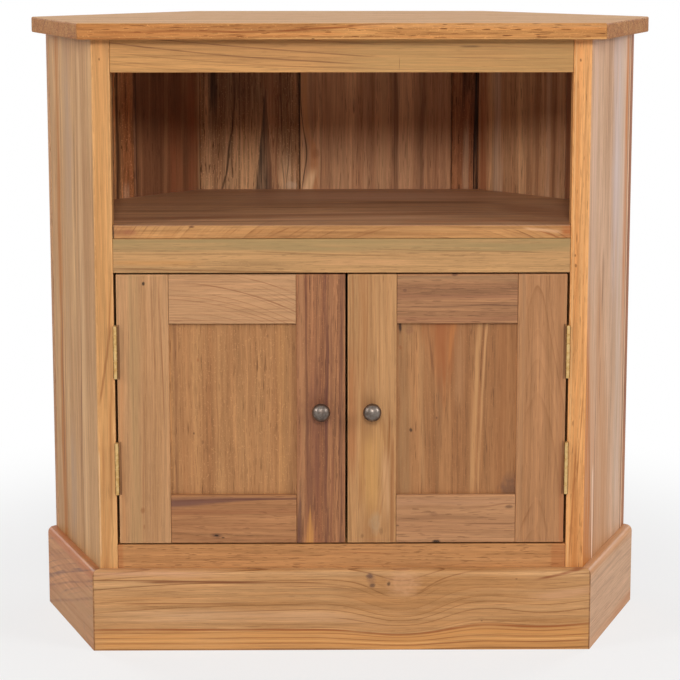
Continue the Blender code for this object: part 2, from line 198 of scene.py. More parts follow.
def seenDirectly(tree):
    path = put(tree, "ShaderNodeLightPath").outputs
    return most(path["Is Camera Ray"], most(path["Is Glossy Ray"], path["Is Transmission Ray"]))


def makeWorld():
    world = bpy.data.worlds.new("studioWorld")
    world.use_nodes = True
    tree = world.node_tree
    tree.nodes.clear()
    light = put(tree, "ShaderNodeBackground", {"Color": "ffffff", "Strength": studio["worldStrength"]})
    white = put(tree, "ShaderNodeBackground", {"Color": "ffffff"})
    put(tree, "ShaderNodeOutputWorld", {"Surface": mixShaders(seenDirectly(tree), light, white)})
    bpy.context.scene.world = world


def makeLamps():
    for name, lamp in studio["lamps"].items():
        data = bpy.data.lights.new(name, "AREA")
        data.shape = "DISK"
        data.size = lamp["size"]
        data.energy = lamp["power"]
        lampObject = bpy.data.objects.new(name, data)
        lampObject.location = lamp["place"]
        toward = Vector(lamp["aim"]) - Vector(lamp["place"])
        lampObject.rotation_euler = toward.to_track_quat("-Z", "Y").to_euler()
        bpy.context.scene.collection.objects.link(lampObject)


def makeFloor():
    shape = bmesh.new()
    bmesh.ops.create_circle(shape, cap_ends=True, segments=96, radius=studio["floorSize"])
    bmesh.ops.translate(shape, vec=(0, 0, -studio["floorDrop"]), verts=shape.verts)
    mesh = bpy.data.meshes.new("floor")
    shape.to_mesh(mesh)
    shape.free()
    floor = bpy.data.objects.new("floor", mesh)
    bpy.context.scene.collection.objects.link(floor)
    material, tree, shader = newMaterial("paleFloor")
    place = put(tree, "ShaderNodeTexCoord").outputs["Object"]
    shade = ease(noise(place, (240, 240, 240))[0], 0.2, 0.8, *studio["floorShade"])
    feed(shader.inputs["Base Color"], shade)
    feed(shader.inputs["Roughness"], 0.7)
    feed(shader.inputs["Specular IOR Level"], 0.2)
    far = put(tree, "ShaderNodeVectorMath", {0: place}, operation="LENGTH").outputs["Value"]
    away = ease(far, *studio["shadowReach"], 0.66, 1.0)
    glow = put(tree, "ShaderNodeEmission")
    surface = mixShaders(times(seenDirectly(tree), away), shader, glow)
    feed(tree.nodes["Material Output"].inputs["Surface"], surface)
    mesh.materials.append(material)


makeWorld()
makeLamps()
makeFloor()
print("studio ready")


# Teak: growth rings round a pith that lies outside the board, bands, fibres, pores and worn edges.
# Board coordinates: x across the board, y through it, z along the grain
teakDefaults = {
    "board": (0.0, 0.0, 0.0),
    "facing": (0.0, 1.0, 0.0),
    "middle": (0.0, 0.0, 0.0),
    "lowCorner": (-9.0, -9.0, -9.0),
    "highCorner": (9.0, 9.0, 9.0),
    "swell": 0.0,
    "seed": 0.0,
    "pithAcross": 0.03,
    "pithDepth": 0.05,
    "ringGap": 0.006,
    "taper": 0.02,
    "bend": 0.0,
    "lean": 0.0,
    "warp": 0.008,
    "figure": 0.6,
    "ringTone": 0.35,
    "bands": 0.6,
    "cloud": 0.35,
    "fibre": 0.8,
    "pores": 0.35,
    "flecks": 0.0,
    "rays": 0.12,
    "wear": 0.35,
    "plankA": 9.0,
    "plankB": 9.0,
    "plankC": 9.0,
    "plankTone": 0.5,
    "gloss": 0.46,
    "pale": "c8986a",
    "deep": "ac7a50",
    "line": "784a2c",
}
teakBump = {"Strength": 0.35, "Distance": 0.0003}
# Scale of each noise across the board, through it and along the grain
teakNoise = {
    "wander": (8, 8, 1.8),
    "ripple": (42, 42, 5),
    "broken": (70, 70, 4),
    "bands": (60, 60, 1.3),
    "cloud": (9, 9, 3.2),
    "coarse": (270, 270, 5.5),
    "fine": (1050, 1050, 30),
    "pores": (1150, 1150, 40),
    "flecks": (640, 640, 55),
    "rays": (620, 620, 420),
    "chips": (150, 150, 60),
}
noiseMean = (0.5, 0.5, 0.5)


def makeTeak():
    tree, given = makeGroup("teak", teakDefaults, color="ffffff", roughness=0.5, height=0.0)
    board, pale, line, warp = [given[key] for key in ("board", "pale", "line", "warp")]
    x = split(board)[0]
    edges = [given[key] for key in ("plankA", "plankB", "plankC")]
    plank = add(*[calc("GREATER_THAN", x, edge) for edge in edges])
    key = add(given["seed"], times(plank, 2.3))
    moved = vectorAdd(board, scaled((1.31, 2.77, 4.19), key))

    # rings
    slow = vectorMinus(noise(moved, teakNoise["wander"])[1], noiseMean)
    quick = vectorMinus(noise(moved, teakNoise["ripple"])[1], noiseMean)
    wander = scaled(slow, times(warp, 2.0))
    ripple = scaled(quick, times(warp, 0.35))
    local = vectorMinus(board, given["middle"])
    across, through, along = split(vectorAdd(local, vectorAdd(wander, ripple)))
    across = add(across, times(plank, 0.053), times(along, given["lean"]))
    fromPith = minus(across, given["pithAcross"])
    below = minus(through, given["pithDepth"])
    radius = calc("SQRT", timesAdd(fromPith, fromPith, times(below, below)))
    radius = timesAdd(along, given["taper"], radius)
    radius = add(radius, times(along, along, given["bend"]), given["swell"])
    inputs = {"W": timesAdd(radius, 60.0, key), "Scale": 1, "Detail": 1}
    years = put(tree, "ShaderNodeTexNoise", inputs, noise_dimensions="1D").outputs[0]
    rings = timesAdd(years, 2.2, over(radius, given["ringGap"]))
    phase = calc("FRACT", rings)
    year = chance(add(calc("FLOOR", rings), key))
    yearTone, yearBold, _ = split(year["Color"])
    rise = ease(phase, 0.30, 0.94)
    fall = ease(phase, 0.94, 1.0, 1.0, 0.0)
    crisp = times(calc("POWER", rise, 9.0), 0.65)
    lateWood = times(timesAdd(calc("POWER", rise, 2.5), 0.35, crisp), fall)
    broken = ease(noise(moved, teakNoise["broken"])[0], 0.36, 0.60, 0.2, 1.0)
    bold = ease(yearBold, 0.1, 0.9, 0.25, 1.0)
    ringLine = times(lateWood, broken, bold, given["figure"])

    # tone of the ground between the rings
    stretched = vectorAdd(moved, wander)
    band = ease(noise(stretched, teakNoise["bands"], 3, 0.62)[0], 0.32, 0.68, -0.5, 0.5)
    cloud = ease(noise(moved, teakNoise["cloud"])[0], 0.3, 0.7, -0.5, 0.5)
    plankShift = times(minus(chance(key)[0], 0.5), least(plank, 1.0))
    tone = timesAdd(band, given["bands"], 0.5)
    tone = timesAdd(cloud, given["cloud"], tone)
    tone = timesAdd(minus(yearTone, 0.5), given["ringTone"], tone)
    tone = timesAdd(plankShift, given["plankTone"], tone)
    color = blend(ringLine, blend(tone, pale, given["deep"]), line)

    # fibres, pores and short flecks
    coarse = noise(stretched, teakNoise["coarse"], 4, 0.68)[0]
    fine = noise(moved, teakNoise["fine"], 2, 0.6)[0]
    lift = timesAdd(fine, 0.6, timesAdd(minus(coarse, 0.5), 1.3, -0.3))
    color = scaled(color, timesAdd(lift, given["fibre"], 1.0))
    pore = ease(noise(moved, teakNoise["pores"], 1)[0], 0.60, 0.70)
    pore = times(pore, ease(phase, 0.2, 0.9, 1.0, 0.35), given["pores"])
    fleck = times(ease(noise(moved, teakNoise["flecks"], 1)[0], 0.640, 0.70), given["flecks"])
    ray = times(ease(noise(moved, teakNoise["rays"], 1)[0], 0.62, 0.72), given["rays"])
    color = blend(ray, color, scaled(pale, 1.25))
    dark = most(pore, fleck)
    poreTint = scaled(line, 0.62)
    color = blend(dark, color, poreTint)

    # joints between edge-glued planks
    gap = least(*[absolute(minus(x, edge)) for edge in edges])
    joint = ease(gap, 0.0002, 0.0008, 0.55, 0.0)
    color = blend(joint, color, poreTint)

    # end grain and worn edges
    end = ease(absolute(split(given["facing"])[2]), 0.55, 0.9)
    color = scaled(color, timesAdd(end, -0.26, 1.0))
    fromLow = split(vectorMinus(board, given["lowCorner"]))
    fromHigh = split(vectorMinus(given["highCorner"], board))
    sides = [least(a, b) for a, b in zip(fromLow, fromHigh)]
    nearEdge = minus(add(*sides), most(*sides), least(*sides))
    reach = ease(noise(moved, teakNoise["chips"], 3, 0.6)[0], 0.35, 0.7, 0.0006, 0.0030)
    rubbed = minus(1.0, over(nearEdge, reach))
    rubbed = times(most(rubbed, 0.0), given["wear"])
    color = blend(rubbed, color, scaled(pale, 1.18))

    rough = timesAdd(lift, -0.16, given["gloss"])
    rough = timesAdd(dark, 0.18, rough)
    rough = timesAdd(ringLine, -0.05, rough)
    rough = timesAdd(end, 0.14, rough)
    height = timesAdd(lift, 0.5, times(dark, -0.9))
    height = timesAdd(ringLine, 0.25, height)
    height = timesAdd(joint, -0.8, height)
    put(tree, "NodeGroupOutput", dict(color=color, roughness=rough, height=height))
    return tree


# One coloured streak that follows the grain
streakDefaults = {
    "color": "ffffff",
    "board": (0.0, 0.0, 0.0),
    "swell": 0.0,
    "seed": 0.0,
    "across": 0.0,
    "width": 0.003,
    "lean": 0.0,
    "bend": 0.0,
    "start": -9.0,
    "end": 9.0,
    "fade": 0.02,
    "wobble": 0.002,
    "strength": 0.6,
    "soft": 0.8,
    "spread": 0.0,
    "ragged": 0.8,
    "tint": "7c593f",
}


def makeStreak():
    tree, given = makeGroup("streak", streakDefaults, color="ffffff")
    board, start, end, fade = [given[key] for key in ("board", "start", "end", "fade")]
    x, y, z = split(board)
    moved = vectorAdd(board, scaled((3.7, 1.9, 5.3), given["seed"]))
    along = minus(z, times(add(start, end), 0.5))
    centre = timesAdd(along, given["lean"], given["across"])
    centre = timesAdd(times(along, along), given["bend"], centre)
    drift = times(minus(noise(moved, (6, 6, 9))[0], 0.5), times(given["wobble"], 4.0))
    centre = add(centre, drift, given["swell"])
    reach = times(minus(end, start), 0.5)
    grown = timesAdd(over(along, reach), given["spread"], 1.0)
    width = times(most(grown, 0.001), given["width"])
    off = over(absolute(minus(x, centre)), width)
    fray = minus(noise(moved, (330, 330, 7), 3, 0.7)[0], 0.5)
    off = timesAdd(fray, given["ragged"], off)
    mask = ease(off, minus(1.0, given["soft"]), 1.0, 1.0, 0.0)
    mask = times(mask, ease(z, minus(start, fade), add(start, fade)))
    mask = times(mask, ease(z, minus(end, fade), add(end, fade), 1.0, 0.0))
    broken = ease(noise(moved, (300, 300, 9))[0], 0.3, 0.62, 0.45, 1.0)
    mask = times(mask, broken, given["strength"])
    put(tree, "NodeGroupOutput", {"color": blend(mask, given["color"], given["tint"])})
    return tree


# A knot or a filled hole: the rings part round it, and its core is dark
swellDefaults = {
    "board": (0.0, 0.0, 0.0),
    "across": 0.0,
    "along": 0.0,
    "size": 0.005,
    "lift": 0.01,
    "round": 1.0,
}
markDefaults = {
    "color": "ffffff",
    "board": (0.0, 0.0, 0.0),
    "across": 0.0,
    "along": 0.0,
    "size": 0.005,
    "stretch": 1.6,
    "tall": 1.0,
    "strength": 0.9,
    "tint": "3f2619",
}


# How far a place is from a mark, in sizes of the mark
def offsets(place, given):
    x, y, z = split(place)
    return over(minus(x, given["across"]), given["size"]), over(minus(z, given["along"]), given["size"])


def makeKnotSwell():
    tree, given = makeGroup("knotSwell", swellDefaults, swell=0.0)
    a, b = offsets(given["board"], given)
    a = times(a, 0.40)
    b = over(times(b, 0.16), given["round"])
    far = timesAdd(a, a, times(b, b))
    bump = calc("EXPONENT", times(far, -1.0))
    put(tree, "NodeGroupOutput", {"swell": times(bump, given["lift"])})
    return tree


def makeKnotMark():
    tree, given = makeGroup("knotMark", markDefaults, color="ffffff")
    wander = vectorMinus(noise(given["board"], (210, 210, 110))[1], noiseMean)
    wander = scaled(wander, times(given["size"], 0.9))
    a, b = offsets(vectorAdd(given["board"], wander), given)
    a = over(a, given["tall"])
    b = over(b, given["stretch"])
    far = calc("SQRT", timesAdd(a, a, times(b, b)))
    core = ease(far, 0.35, 1.0, 1.0, 0.0)
    turns = calc("SINE", times(far, 19.0))
    shade = times(core, timesAdd(turns, 0.12, 0.88), given["strength"])
    put(tree, "NodeGroupOutput", {"color": blend(shade, given["color"], given["tint"])})
    return tree


teakGroup = makeTeak()
streakGroup = makeStreak()
swellGroup = makeKnotSwell()
markGroup = makeKnotMark()


# Streaks and marks are written with their places and widths in millimetres
def inMetres(given):
    lengths = ("across", "along", "width", "size", "start", "end", "fade", "wobble", "lift")
    return {key: value / 1000 if key in lengths else value for key, value in given.items()}


def streak(across, width, strength, color, wobble=2, start=-9000, end=9000, **more):
    more.update(across=across, width=width, wobble=wobble, start=start, end=end)
    return inMetres(dict(more, strength=strength, tint=color))


# A mark with no strength only bends the rings round it
def mark(across, along, size, strength=0, color="000000", **more):
    return inMetres(dict(more, across=across, along=along, size=size, strength=strength, tint=color))


# How a board lies: directions across it and along its grain, and where its coordinates start
def lay(across, along, origin=(0, 0, 0)):
    across = Vector(across).normalized()
    along = Vector(along).normalized()
    through = along.cross(across)
    turn = Matrix((across, through, along)).transposed().to_4x4()
    return Matrix.Translation(origin) @ turn


upright = lay((1, 0, 0), (0, 0, 1))
crosswise = lay((0, 0, 1), (1, 0, 0))
flat = lay((0, 1, 0), (1, 0, 0))


def spanOf(thing, layout):
    turnBack = layout.inverted()
    places = [turnBack @ v.co for v in thing.data.vertices]
    return [Vector([pick(column) for column in zip(*places)]) for pick in (min, max)]


def turnedBack(vector, layout, **inputs):
    inputs.update(Vector=vector, Rotation=layout.to_euler())
    return put(vector.id_data, "ShaderNodeMapping", inputs, vector_type="TEXTURE").outputs[0]


# Streaks and marks over a colour, in the coordinates of one board or of one of its faces
def paint(board, color, streaks, marks, seed, swell=0.0):
    tree = board.id_data
    for number, line in enumerate(streaks):
        line = dict(line, seed=seed + 0.61 * number, board=board, color=color, swell=swell)
        color = useGroup(tree, streakGroup, line)["color"]
    for spot in marks:
        if spot["strength"]:
            color = useGroup(tree, markGroup, dict(spot, board=board, color=color))["color"]
    return color


def woodMaterial(name, thing, layout, look):
    material, tree, shader = newMaterial(name)
    streaks, marks, faces = [look.get(key, []) for key in ("streaks", "marks", "faces")]
    here = put(tree, "ShaderNodeTexCoord").outputs
    board = turnedBack(here["Object"], layout, Location=layout.translation)
    facing = turnedBack(here["Normal"], layout)
    low, high = spanOf(thing, layout)
    seed = look.get("seed", 0.37 * (sum(map(ord, name)) % 97))
    swell = 0.0
    for spot in marks:
        if "lift" in spot:
            swell = add(swell, useGroup(tree, swellGroup, dict(spot, board=board))["swell"])
    settings = dict(look, board=board, facing=facing, middle=(low + high) / 2)
    settings.update(lowCorner=low, highCorner=high, seed=seed, swell=swell)
    result = useGroup(tree, teakGroup, settings)
    color = paint(board, result["color"], streaks, marks, seed, swell)
    for direction, faceLayout, faceStreaks, faceMarks in faces:
        place = turnedBack(here["Object"], faceLayout, Location=faceLayout.translation)
        painted = paint(place, color, faceStreaks, faceMarks, seed)
        inputs = {0: here["Normal"], 1: direction}
        toward = put(tree, "ShaderNodeVectorMath", inputs, operation="DOT_PRODUCT").outputs["Value"]
        color = blend(ease(toward, 0.5, 0.8), color, painted)
    feed(shader.inputs["Specular IOR Level"], look.get("shine", 0.22))
    finishShader(shader, color, result["roughness"], result["height"], teakBump)
    return material


def dress(name, layout, look):
    thing = nodes[name]
    material = woodMaterial("teak_" + name, thing, layout, look)
    thing.data.materials.clear()
    thing.data.materials.append(material)


front, above = (0, -1, 0), (0, 0, 1)
darkLine = "704226"
redBrown = "965430"
purpleBrown = "704434"
greenGrey = "9e8458"
holeBlack = "22140e"

# Top board: four planks glued edge to edge, grain from side to side
topBoard = {
    "pale": "cd9357", "deep": "b5733d", "line": "753b19",
    "ringGap": 0.0065, "pithAcross": -0.19, "pithDepth": -0.16, "taper": 0.015, "figure": 0.7,
    "plankA": -0.095, "plankB": 0.005, "plankC": 0.1, "plankTone": 0.6, "fibre": 1.1, "pores": 0.7,
    "flecks": 0.9, "rays": 0.6, "shine": 0.1,
    "faces": [
        (front, crosswise, [
            streak(740.3, 2.2, 0.8, "84421c", 1.2, -275, -45, lean=0.006),
            streak(745.5, 2, 0.8, "84421c", 0.6, -75, 62, lean=0.075, fade=12),
            streak(737.2, 4, 0.4, "b06834", 2, -370, 0),
            streak(731.8, 1.6, 0.75, "e2ac6e", 0.5, -100, 330),
            streak(746.5, 3, 0.35, "dca870", 2, 20, 360),
            streak(732.2, 1.4, 0.6, "8c4e26", 0.5, -370, -110, ragged=1.6),
            streak(744, 6, 0.4, "8e542a", 1, -360, -20, ragged=2.6),
            streak(737.5, 5, 0.4, "8e542a", 1, 40, 370, ragged=2.6),
            streak(740, 8, 0.4, "96603c", 2, -390, -300, fade=12),
        ], [
            mark(731.7, -33, 1.1, 1, holeBlack, stretch=2.5),
        ]),
        (above, flat, [
            # Painted sheen: a pale wash over the whole top face makes it lighter than the front edge
            streak(0, 300, 0.75, "f0bc82", soft=0.02, ragged=0),
            streak(-150, 16, 0.5, "ce8c54", 4),
            streak(40, 22, 0.4, "d8965e", 6),
        ], []),
    ],
}
dress("top_board", flat, topBoard)

# Stiles of the face frame
leftStile = {
    "pale": "d7a269", "deep": "c38b52", "line": "996035",
    "ringGap": 0.011, "figure": 0.25, "bands": 0.45, "wear": 0.7,
    "streaks": [
        streak(-272.5, 1.6, 0.7, "a06032", 0.4, 385, 455, lean=0.055, fade=15),
        streak(-279, 2.2, 0.8, "8e522a", 0.4, 305, 392, lean=0.155, fade=10),
        streak(-276.5, 3, 0.45, "b0703e", 2, 90, 330, lean=0.03),
        streak(-285, 3, 0.4, "b47442", 2, 90, 260),
        streak(-288.5, 1.1, 0.7, "e2be96", 0.3, 115, 240, fade=6),
        streak(-274.5, 1.2, 0.5, "965a30", 0.6, 160, 300),
    ],
    "marks": [mark(-280.3, 707.7, 1.4, 0.8, "683e22")],
}
dress("left_stile", upright, leftStile)
rightStile = {
    "pale": "e1a467", "deep": "c98448", "line": "965225",
    "ringGap": 0.0042, "figure": 0.5, "bands": 0.8, "flecks": 0.4, "pores": 0.6, "wear": 0.7,
    "streaks": [
        streak(283.8, 1.1, 0.7, "a05a28", 0.5, 205, 320, lean=0.05),
        streak(276, 1.5, 0.75, "9a5426", 0.5, 115, 245, lean=0.045),
        # Painted highlight: a pale line down the stile's inner edge
        streak(271.5, 1.4, 0.5, "eaba80", 0.6, 100, 730),
        streak(285, 2.2, 0.4, "b66a32", 0.8, 330, 600),
        streak(280, 6, 0.4, "ba7036", 2, 90, 200),
    ],
    "marks": [
        mark(276.2, 706.5, 1.5, 0.8, "703e1e"),
        mark(273.9, 477.7, 1.4, 0.8, "703e1e"),
        mark(275, 465.9, 1.9, 0.8, "703e1e"),
    ],
}
dress("right_stile", upright, rightStile)

# Rails of the face frame
topRail = {
    "pale": "c59157", "deep": "b17e4a", "line": "774b26",
    "ringGap": 0.0062, "pithAcross": 0.09, "pithDepth": 0.01, "lean": 0.05, "bend": 0.12, "warp": 0.004,
    "figure": 0.5, "bands": 0.4,
    "streaks": [
        streak(711, 1.2, 0.8, darkLine, 0.4, -268, 30, lean=-0.083, bend=0.15),
        streak(720.5, 1.1, 0.7, darkLine, 0.4, -225, 30, lean=-0.08, bend=0.05),
        streak(728, 1, 0.6, darkLine, 0.4, -60, 40, lean=-0.05),
        streak(723, 1.3, 0.65, darkLine, 0.8, 0, 268, lean=-0.018),
        streak(722.3, 1.8, 0.9, "5c321a", 0.2, 138, 158, fade=6),
        streak(709, 1, 0.5, darkLine, 0.6, 110, 260, lean=-0.008),
        streak(700, 1.2, 0.35, darkLine, 0.6, -250, 50, lean=-0.02),
        streak(712, 24, 0.4, "aa8a56", 2, 0, 300, fade=50, soft=0.3),
    ],
    "marks": [mark(702.5, 66.6, 0.42, 0.85, "6c4628", stretch=1, tall=24)],
}
dress("top_rail", crosswise, topRail)
middleRail = {
    "pale": "c59561", "deep": "ad8356", "line": "815b35",
    "ringGap": 0.006, "pithAcross": 0.09, "pithDepth": 0.02, "lean": 0.025, "figure": 0.45,
    "bands": 0.4, "flecks": 0.3,
    "streaks": [
        streak(492, 11.5, 0.75, "988054", 1.5, soft=0.5),
        streak(460, 1.6, 0.7, "805630", 0.6, -262, -20, lean=-0.022),
        streak(479.5, 1, 0.6, "845c34", 0.6, -100, 80, lean=-0.035),
        streak(483, 1.1, 0.6, "7e5e38", 0.8, 50, 240, lean=-0.02),
        streak(470, 5, 0.45, "cc8e50", 2, -270, -170),
        streak(470, 5, 0.4, "d29a6a", 2, -20, 80),
    ],
}
dress("middle_rail", crosswise, middleRail)
bottomRail = {
    "pale": "c38b57", "deep": "ad7545", "line": "7e4926",
    "ringGap": 0.004, "pithAcross": -0.07, "figure": 0.4, "bands": 0.4, "flecks": 0.7, "pores": 0.8,
    "streaks": [
        streak(113, 30, 0.55, "a86032", 2, 251.5, 300, fade=2, soft=0.2),
        streak(113, 30, 0.5, "a86032", 2, -300, -262, fade=2, soft=0.2),
        streak(117, 0.9, 0.6, redBrown, 0.8, 0, 70, lean=-0.03),
        streak(114, 0.9, 0.5, redBrown, 0.8, -120, -30),
    ],
}
dress("bottom_rail", crosswise, bottomRail)

# Side panels of upright planks; across counts from the front corner to the rear
sideRun = Vector((0.076, 0.185, 0)).normalized()
leftSideLay = lay((-sideRun.x, sideRun.y, 0), (0, 0, 1), (-0.290, frontPlane, 0))
rightSideLay = lay(sideRun, (0, 0, 1), (0.290, frontPlane, 0))
leftSide = {
    "pale": "ca9d6c", "deep": "af8053", "line": "805330",
    "ringGap": 0.012, "pithDepth": -0.01, "figure": 0.35, "bands": 0.5, "cloud": 0.8, "plankA": 0.066,
    "plankB": 0.139, "plankTone": 0.25, "wear": 0.5, "shine": 0.06,
    "streaks": [
        streak(151.5, 12, 0.95, "aa682a", 3, soft=0.7, ragged=1.2),
        streak(150, 3, 0.9, "784622", 1, 180, 420, lean=-0.02),
        streak(142, 2.2, 0.7, "8c5a30", 1, 80, 380, lean=-0.05),
        streak(66, 3, 1, "744a26", 1, 170, 460, lean=-0.07, fade=40),
        streak(79, 2.2, 0.8, "805630", 1, 500, 620),
        streak(105, 24, 0.75, "b08e72", 8, 500, 700, fade=60, ragged=0.6),
        streak(110, 22, 0.6, "b09074", 6, 100, 240, fade=50),
        streak(56, 12, 0.65, "daae7e", 4, 100, 720),
        streak(181, 14, 0.6, "ac825a", 3, ragged=1.4),
        streak(121, 13, 0.55, "a8805a", 3, start=300, ragged=1.4),
    ],
}
dress("left_side_panel", leftSideLay, leftSide)
rightSide = {
    "pale": "d4ab8b", "deep": "bb8f6b", "line": "97653f",
    "ringGap": 0.013, "pithDepth": -0.01, "figure": 0.3, "bands": 0.5, "cloud": 0.8, "plankA": 0.052,
    "plankB": 0.118, "plankTone": 0.2, "wear": 0.5, "shine": 0.06,
    "streaks": [
        streak(6, 50, 0.95, "c07430", 3, 20, 420, fade=50, spread=-0.8, soft=0.8, ragged=0.8),
        streak(74, 52, 0.75, "c08654", 6, 20, 440, lean=-0.1, fade=80, spread=-0.6, soft=0.9, ragged=1.2),
        streak(27, 9.5, 0.85, "cea482", 1, 120, 400, lean=-0.09, fade=40, spread=0.5, ragged=0.5),
        streak(39, 3.5, 1, "f6d6bc", 0.5, 90, 210, lean=-0.02, fade=10, ragged=0.3),
        streak(20, 1.8, 1, "88522e", 0.5, 100, 360, lean=-0.12, fade=30),
        streak(45, 1.8, 0.9, "8c5632", 0.5, 100, 340, fade=50),
        streak(125, 34, 0.8, "cebab4", 6, 440, 760, fade=120, ragged=0.5),
        streak(20, 16, 0.5, "d6b29c", 4, 440, 740, fade=60),
        streak(169, 10.5, 0.95, "be6e26", 1, 360, 780, fade=100, ragged=0.3),
        streak(178.5, 3, 0.9, "844c20", 0.8),
        streak(68, 5, 0.9, "84542c", 2, 400, 470, fade=20, ragged=1.6),
        streak(56, 3, 0.8, "966038", 2, 360, 440, fade=20, ragged=1.4),
        streak(64, 3, 0.8, "965c2c", 2, 290, 340, fade=10, ragged=1.4),
        streak(150, 24, 0.6, "d4baa6", 4, 140, 800, fade=50, ragged=1),
        streak(80, 2, 0.7, "966440", 2, 620, 780),
        streak(60, 4, 0.4, "c49870", 3, 560, 750),
    ],
}
dress("right_side_panel", rightSideLay, rightSide)

# Plinth: the grain of the front board dips under its knots
plinthFront = {
    "pale": "c99968", "deep": "b27f4e", "line": "835229",
    "ringGap": 0.0062, "pithAcross": 0.13, "pithDepth": 0.01, "bend": -0.08, "warp": 0.006,
    "figure": 0.85, "bands": 0.6, "cloud": 0.8, "flecks": 0.2,
    "streaks": [
        streak(84.8, 2.8, 0.85, "763e20", 0.6, -235, -105, lean=-0.004, fade=20),
        streak(85.8, 1.1, 0.7, "804c2a", 0.8, -300, -20, lean=-0.012, fade=20),
        streak(80, 1.3, 0.7, "86502a", 0.6, -75, 0),
        streak(94, 6, 0.5, "ce9876", 2, -300, -160, fade=40),
        streak(42, 11, 0.45, "cca07a", 2, -260, 20, fade=60),
        streak(58, 1.3, 0.6, "8c5832", 0.6, -260, -120),
        streak(11.5, 15, 0.6, "d89854", 0.5, -300, 300, soft=0.3),
        streak(25.5, 2, 0.9, "965226", 0.6, -300, 300),
        streak(21.5, 1.2, 0.7, "985c30", 0.6, -300, 300),
        streak(15, 1.1, 0.7, "92562c", 0.6, -300, 300),
        streak(11.5, 1.1, 0.6, "e4ac6c", 0.6, -300, 300),
        streak(8.5, 1.3, 0.75, "92562c", 0.6, -300, 300),
        streak(1.2, 1.6, 0.6, "603820", 0, -300, 300),
        streak(89.3, 2.6, 0.8, "864626", 0.4, 235, 300, lean=0.155, fade=10),
        streak(92.5, 1.2, 0.7, "82502a", 0.4, 95, 160, lean=0.1),
        streak(61, 8, 0.5, "ce9c76", 2, 235, 300, fade=20),
        streak(50, 60, 0.75, "6e4228", 2, 296.3, 300, fade=0.4, soft=0.1, ragged=0),
        streak(50, 60, 0.75, "6e4228", 2, -300, -296.3, fade=0.4, soft=0.1, ragged=0),
    ],
    "marks": [
        mark(60, 72, 15, round=0.55, lift=-24),
        mark(55, 170, 15, round=0.6, lift=9),
        mark(70, 330, 20, round=0.6, lift=14),
        mark(84, 74, 22, 0.5, "d4a076", stretch=1.2),
        mark(88, 35, 9, 0.45, "785442", stretch=0.8),
        mark(91.5, 33, 4.6, 0.75, "543a36", stretch=1.2),
        mark(80, 36.4, 4, 0.75, "4c3630", stretch=1.2),
        mark(82.3, 56, 3.6, 0.85, "4a3226", stretch=0.8),
        mark(36, 168, 1.2, 0.7, "603e2a", stretch=1.4),
        mark(88, 209, 1.2, 0.7, "603e2a", stretch=1.4),
    ],
}
dress("plinth_front", crosswise, plinthFront)
leftPlinthLay = lay((0, 0, 1), (-sideRun.x, sideRun.y, 0), (-0.298, frontPlane - 0.012, 0))
rightPlinthLay = lay((0, 0, 1), (sideRun.x, sideRun.y, 0), (0.298, frontPlane - 0.012, 0))
plinthLeft = {
    "pale": "bd814d", "deep": "a26534", "line": "75401c",
    "ringGap": 0.007, "pithAcross": -0.03, "pithDepth": 0.012, "taper": 0.3, "figure": 0.9,
    "cloud": 0.6,
    "streaks": [
        streak(94, 9, 0.7, "ac6030"),
        streak(10, 42, 0.8, "b28252", 2, -20, 240, lean=-0.32, soft=0.5, ragged=0.5),
        streak(66, 1.6, 0.8, "7c4a2a", 1, -20, 240, lean=-0.32),
        streak(30, 3, 0.6, "8c5834", 1, -20, 240, lean=-0.32),
        streak(52, 2.2, 0.7, "824e2c", 1, -20, 240, lean=-0.32),
    ],
}
dress("plinth_left", leftPlinthLay, plinthLeft)
plinthRight = {
    "pale": "cda17b", "deep": "be8f68", "line": "9b6b45",
    "ringGap": 0.016, "figure": 0.2, "bands": 0.25, "cloud": 0.5,
    "streaks": [
        streak(95, 10, 0.7, "c4844a"),
        streak(6, 12, 0.6, "c48654", 4, -50, 260),
        streak(2, 14, 0.6, "b87642", 2, 100, 240, lean=0.1),
    ],
}
dress("plinth_right", rightPlinthLay, plinthRight)

# Left door
leftHingeStile = {
    "pale": "c09064", "deep": "a7794f", "line": "875632",
    "ringGap": 0.0033, "pithAcross": 0.22, "pithDepth": 0, "lean": 0.022, "warp": 0.006, "figure": 0.42,
    "bands": 0.6, "ringTone": 0.25, "wear": 0.6,
    "streaks": [
        streak(-246, 10, 0.35, greenGrey),
        streak(-212.5, 1, 0.7, "8a5430", 0.6, 280, 440, lean=-0.03),
        streak(-222.5, 1, 0.6, "8a5430", 0.6, 340, 450, lean=-0.03),
        streak(-261, 4.5, 0.45, "c48654", 2, 120, 340),
        # Painted shadow of the hinge recesses: a dark line beside each hinge barrel
        streak(-263.2, 1.7, 0.9, "603a1e", 0, 330, 396, fade=0.4, ragged=0.2),
        streak(-263.2, 1.7, 0.9, "603a1e", 0, 189.5, 254.5, fade=0.4, ragged=0.2),
        streak(-236, 1, 0.5, "8c5a36", 0.8, 150, 300, lean=0.02),
    ],
    "marks": [
        mark(-233.1, 444.8, 2.4, 1, holeBlack, stretch=1.3),
        mark(-237.8, 170.2, 3.4, 0.6, "88502c", stretch=1.5),
        mark(-236, 150, 1.4, 0.5, "88502c", stretch=3),
    ],
}
dress("left_door_hinge_stile", upright, leftHingeStile)
leftTopRail = {
    "pale": "c2956b", "deep": "b08057", "line": "915b38",
    "ringGap": 0.0047, "pithAcross": -0.075, "pithDepth": 0.01, "taper": 0.26, "bend": 1.5,
    "warp": 0.003, "figure": 0.6, "ringTone": 0.15, "bands": 0.25,
    "streaks": [
        streak(434.5, 1.2, 0.7, "8e5836", 0, -185, -52, lean=-0.27, bend=-1.5),
        streak(445, 1, 0.6, "925c3a", 0, -125, -52, lean=-0.3, bend=-1.6),
        streak(401, 2.2, 0.35, "966240", 1),
    ],
}
dress("left_door_top_rail", crosswise, leftTopRail)
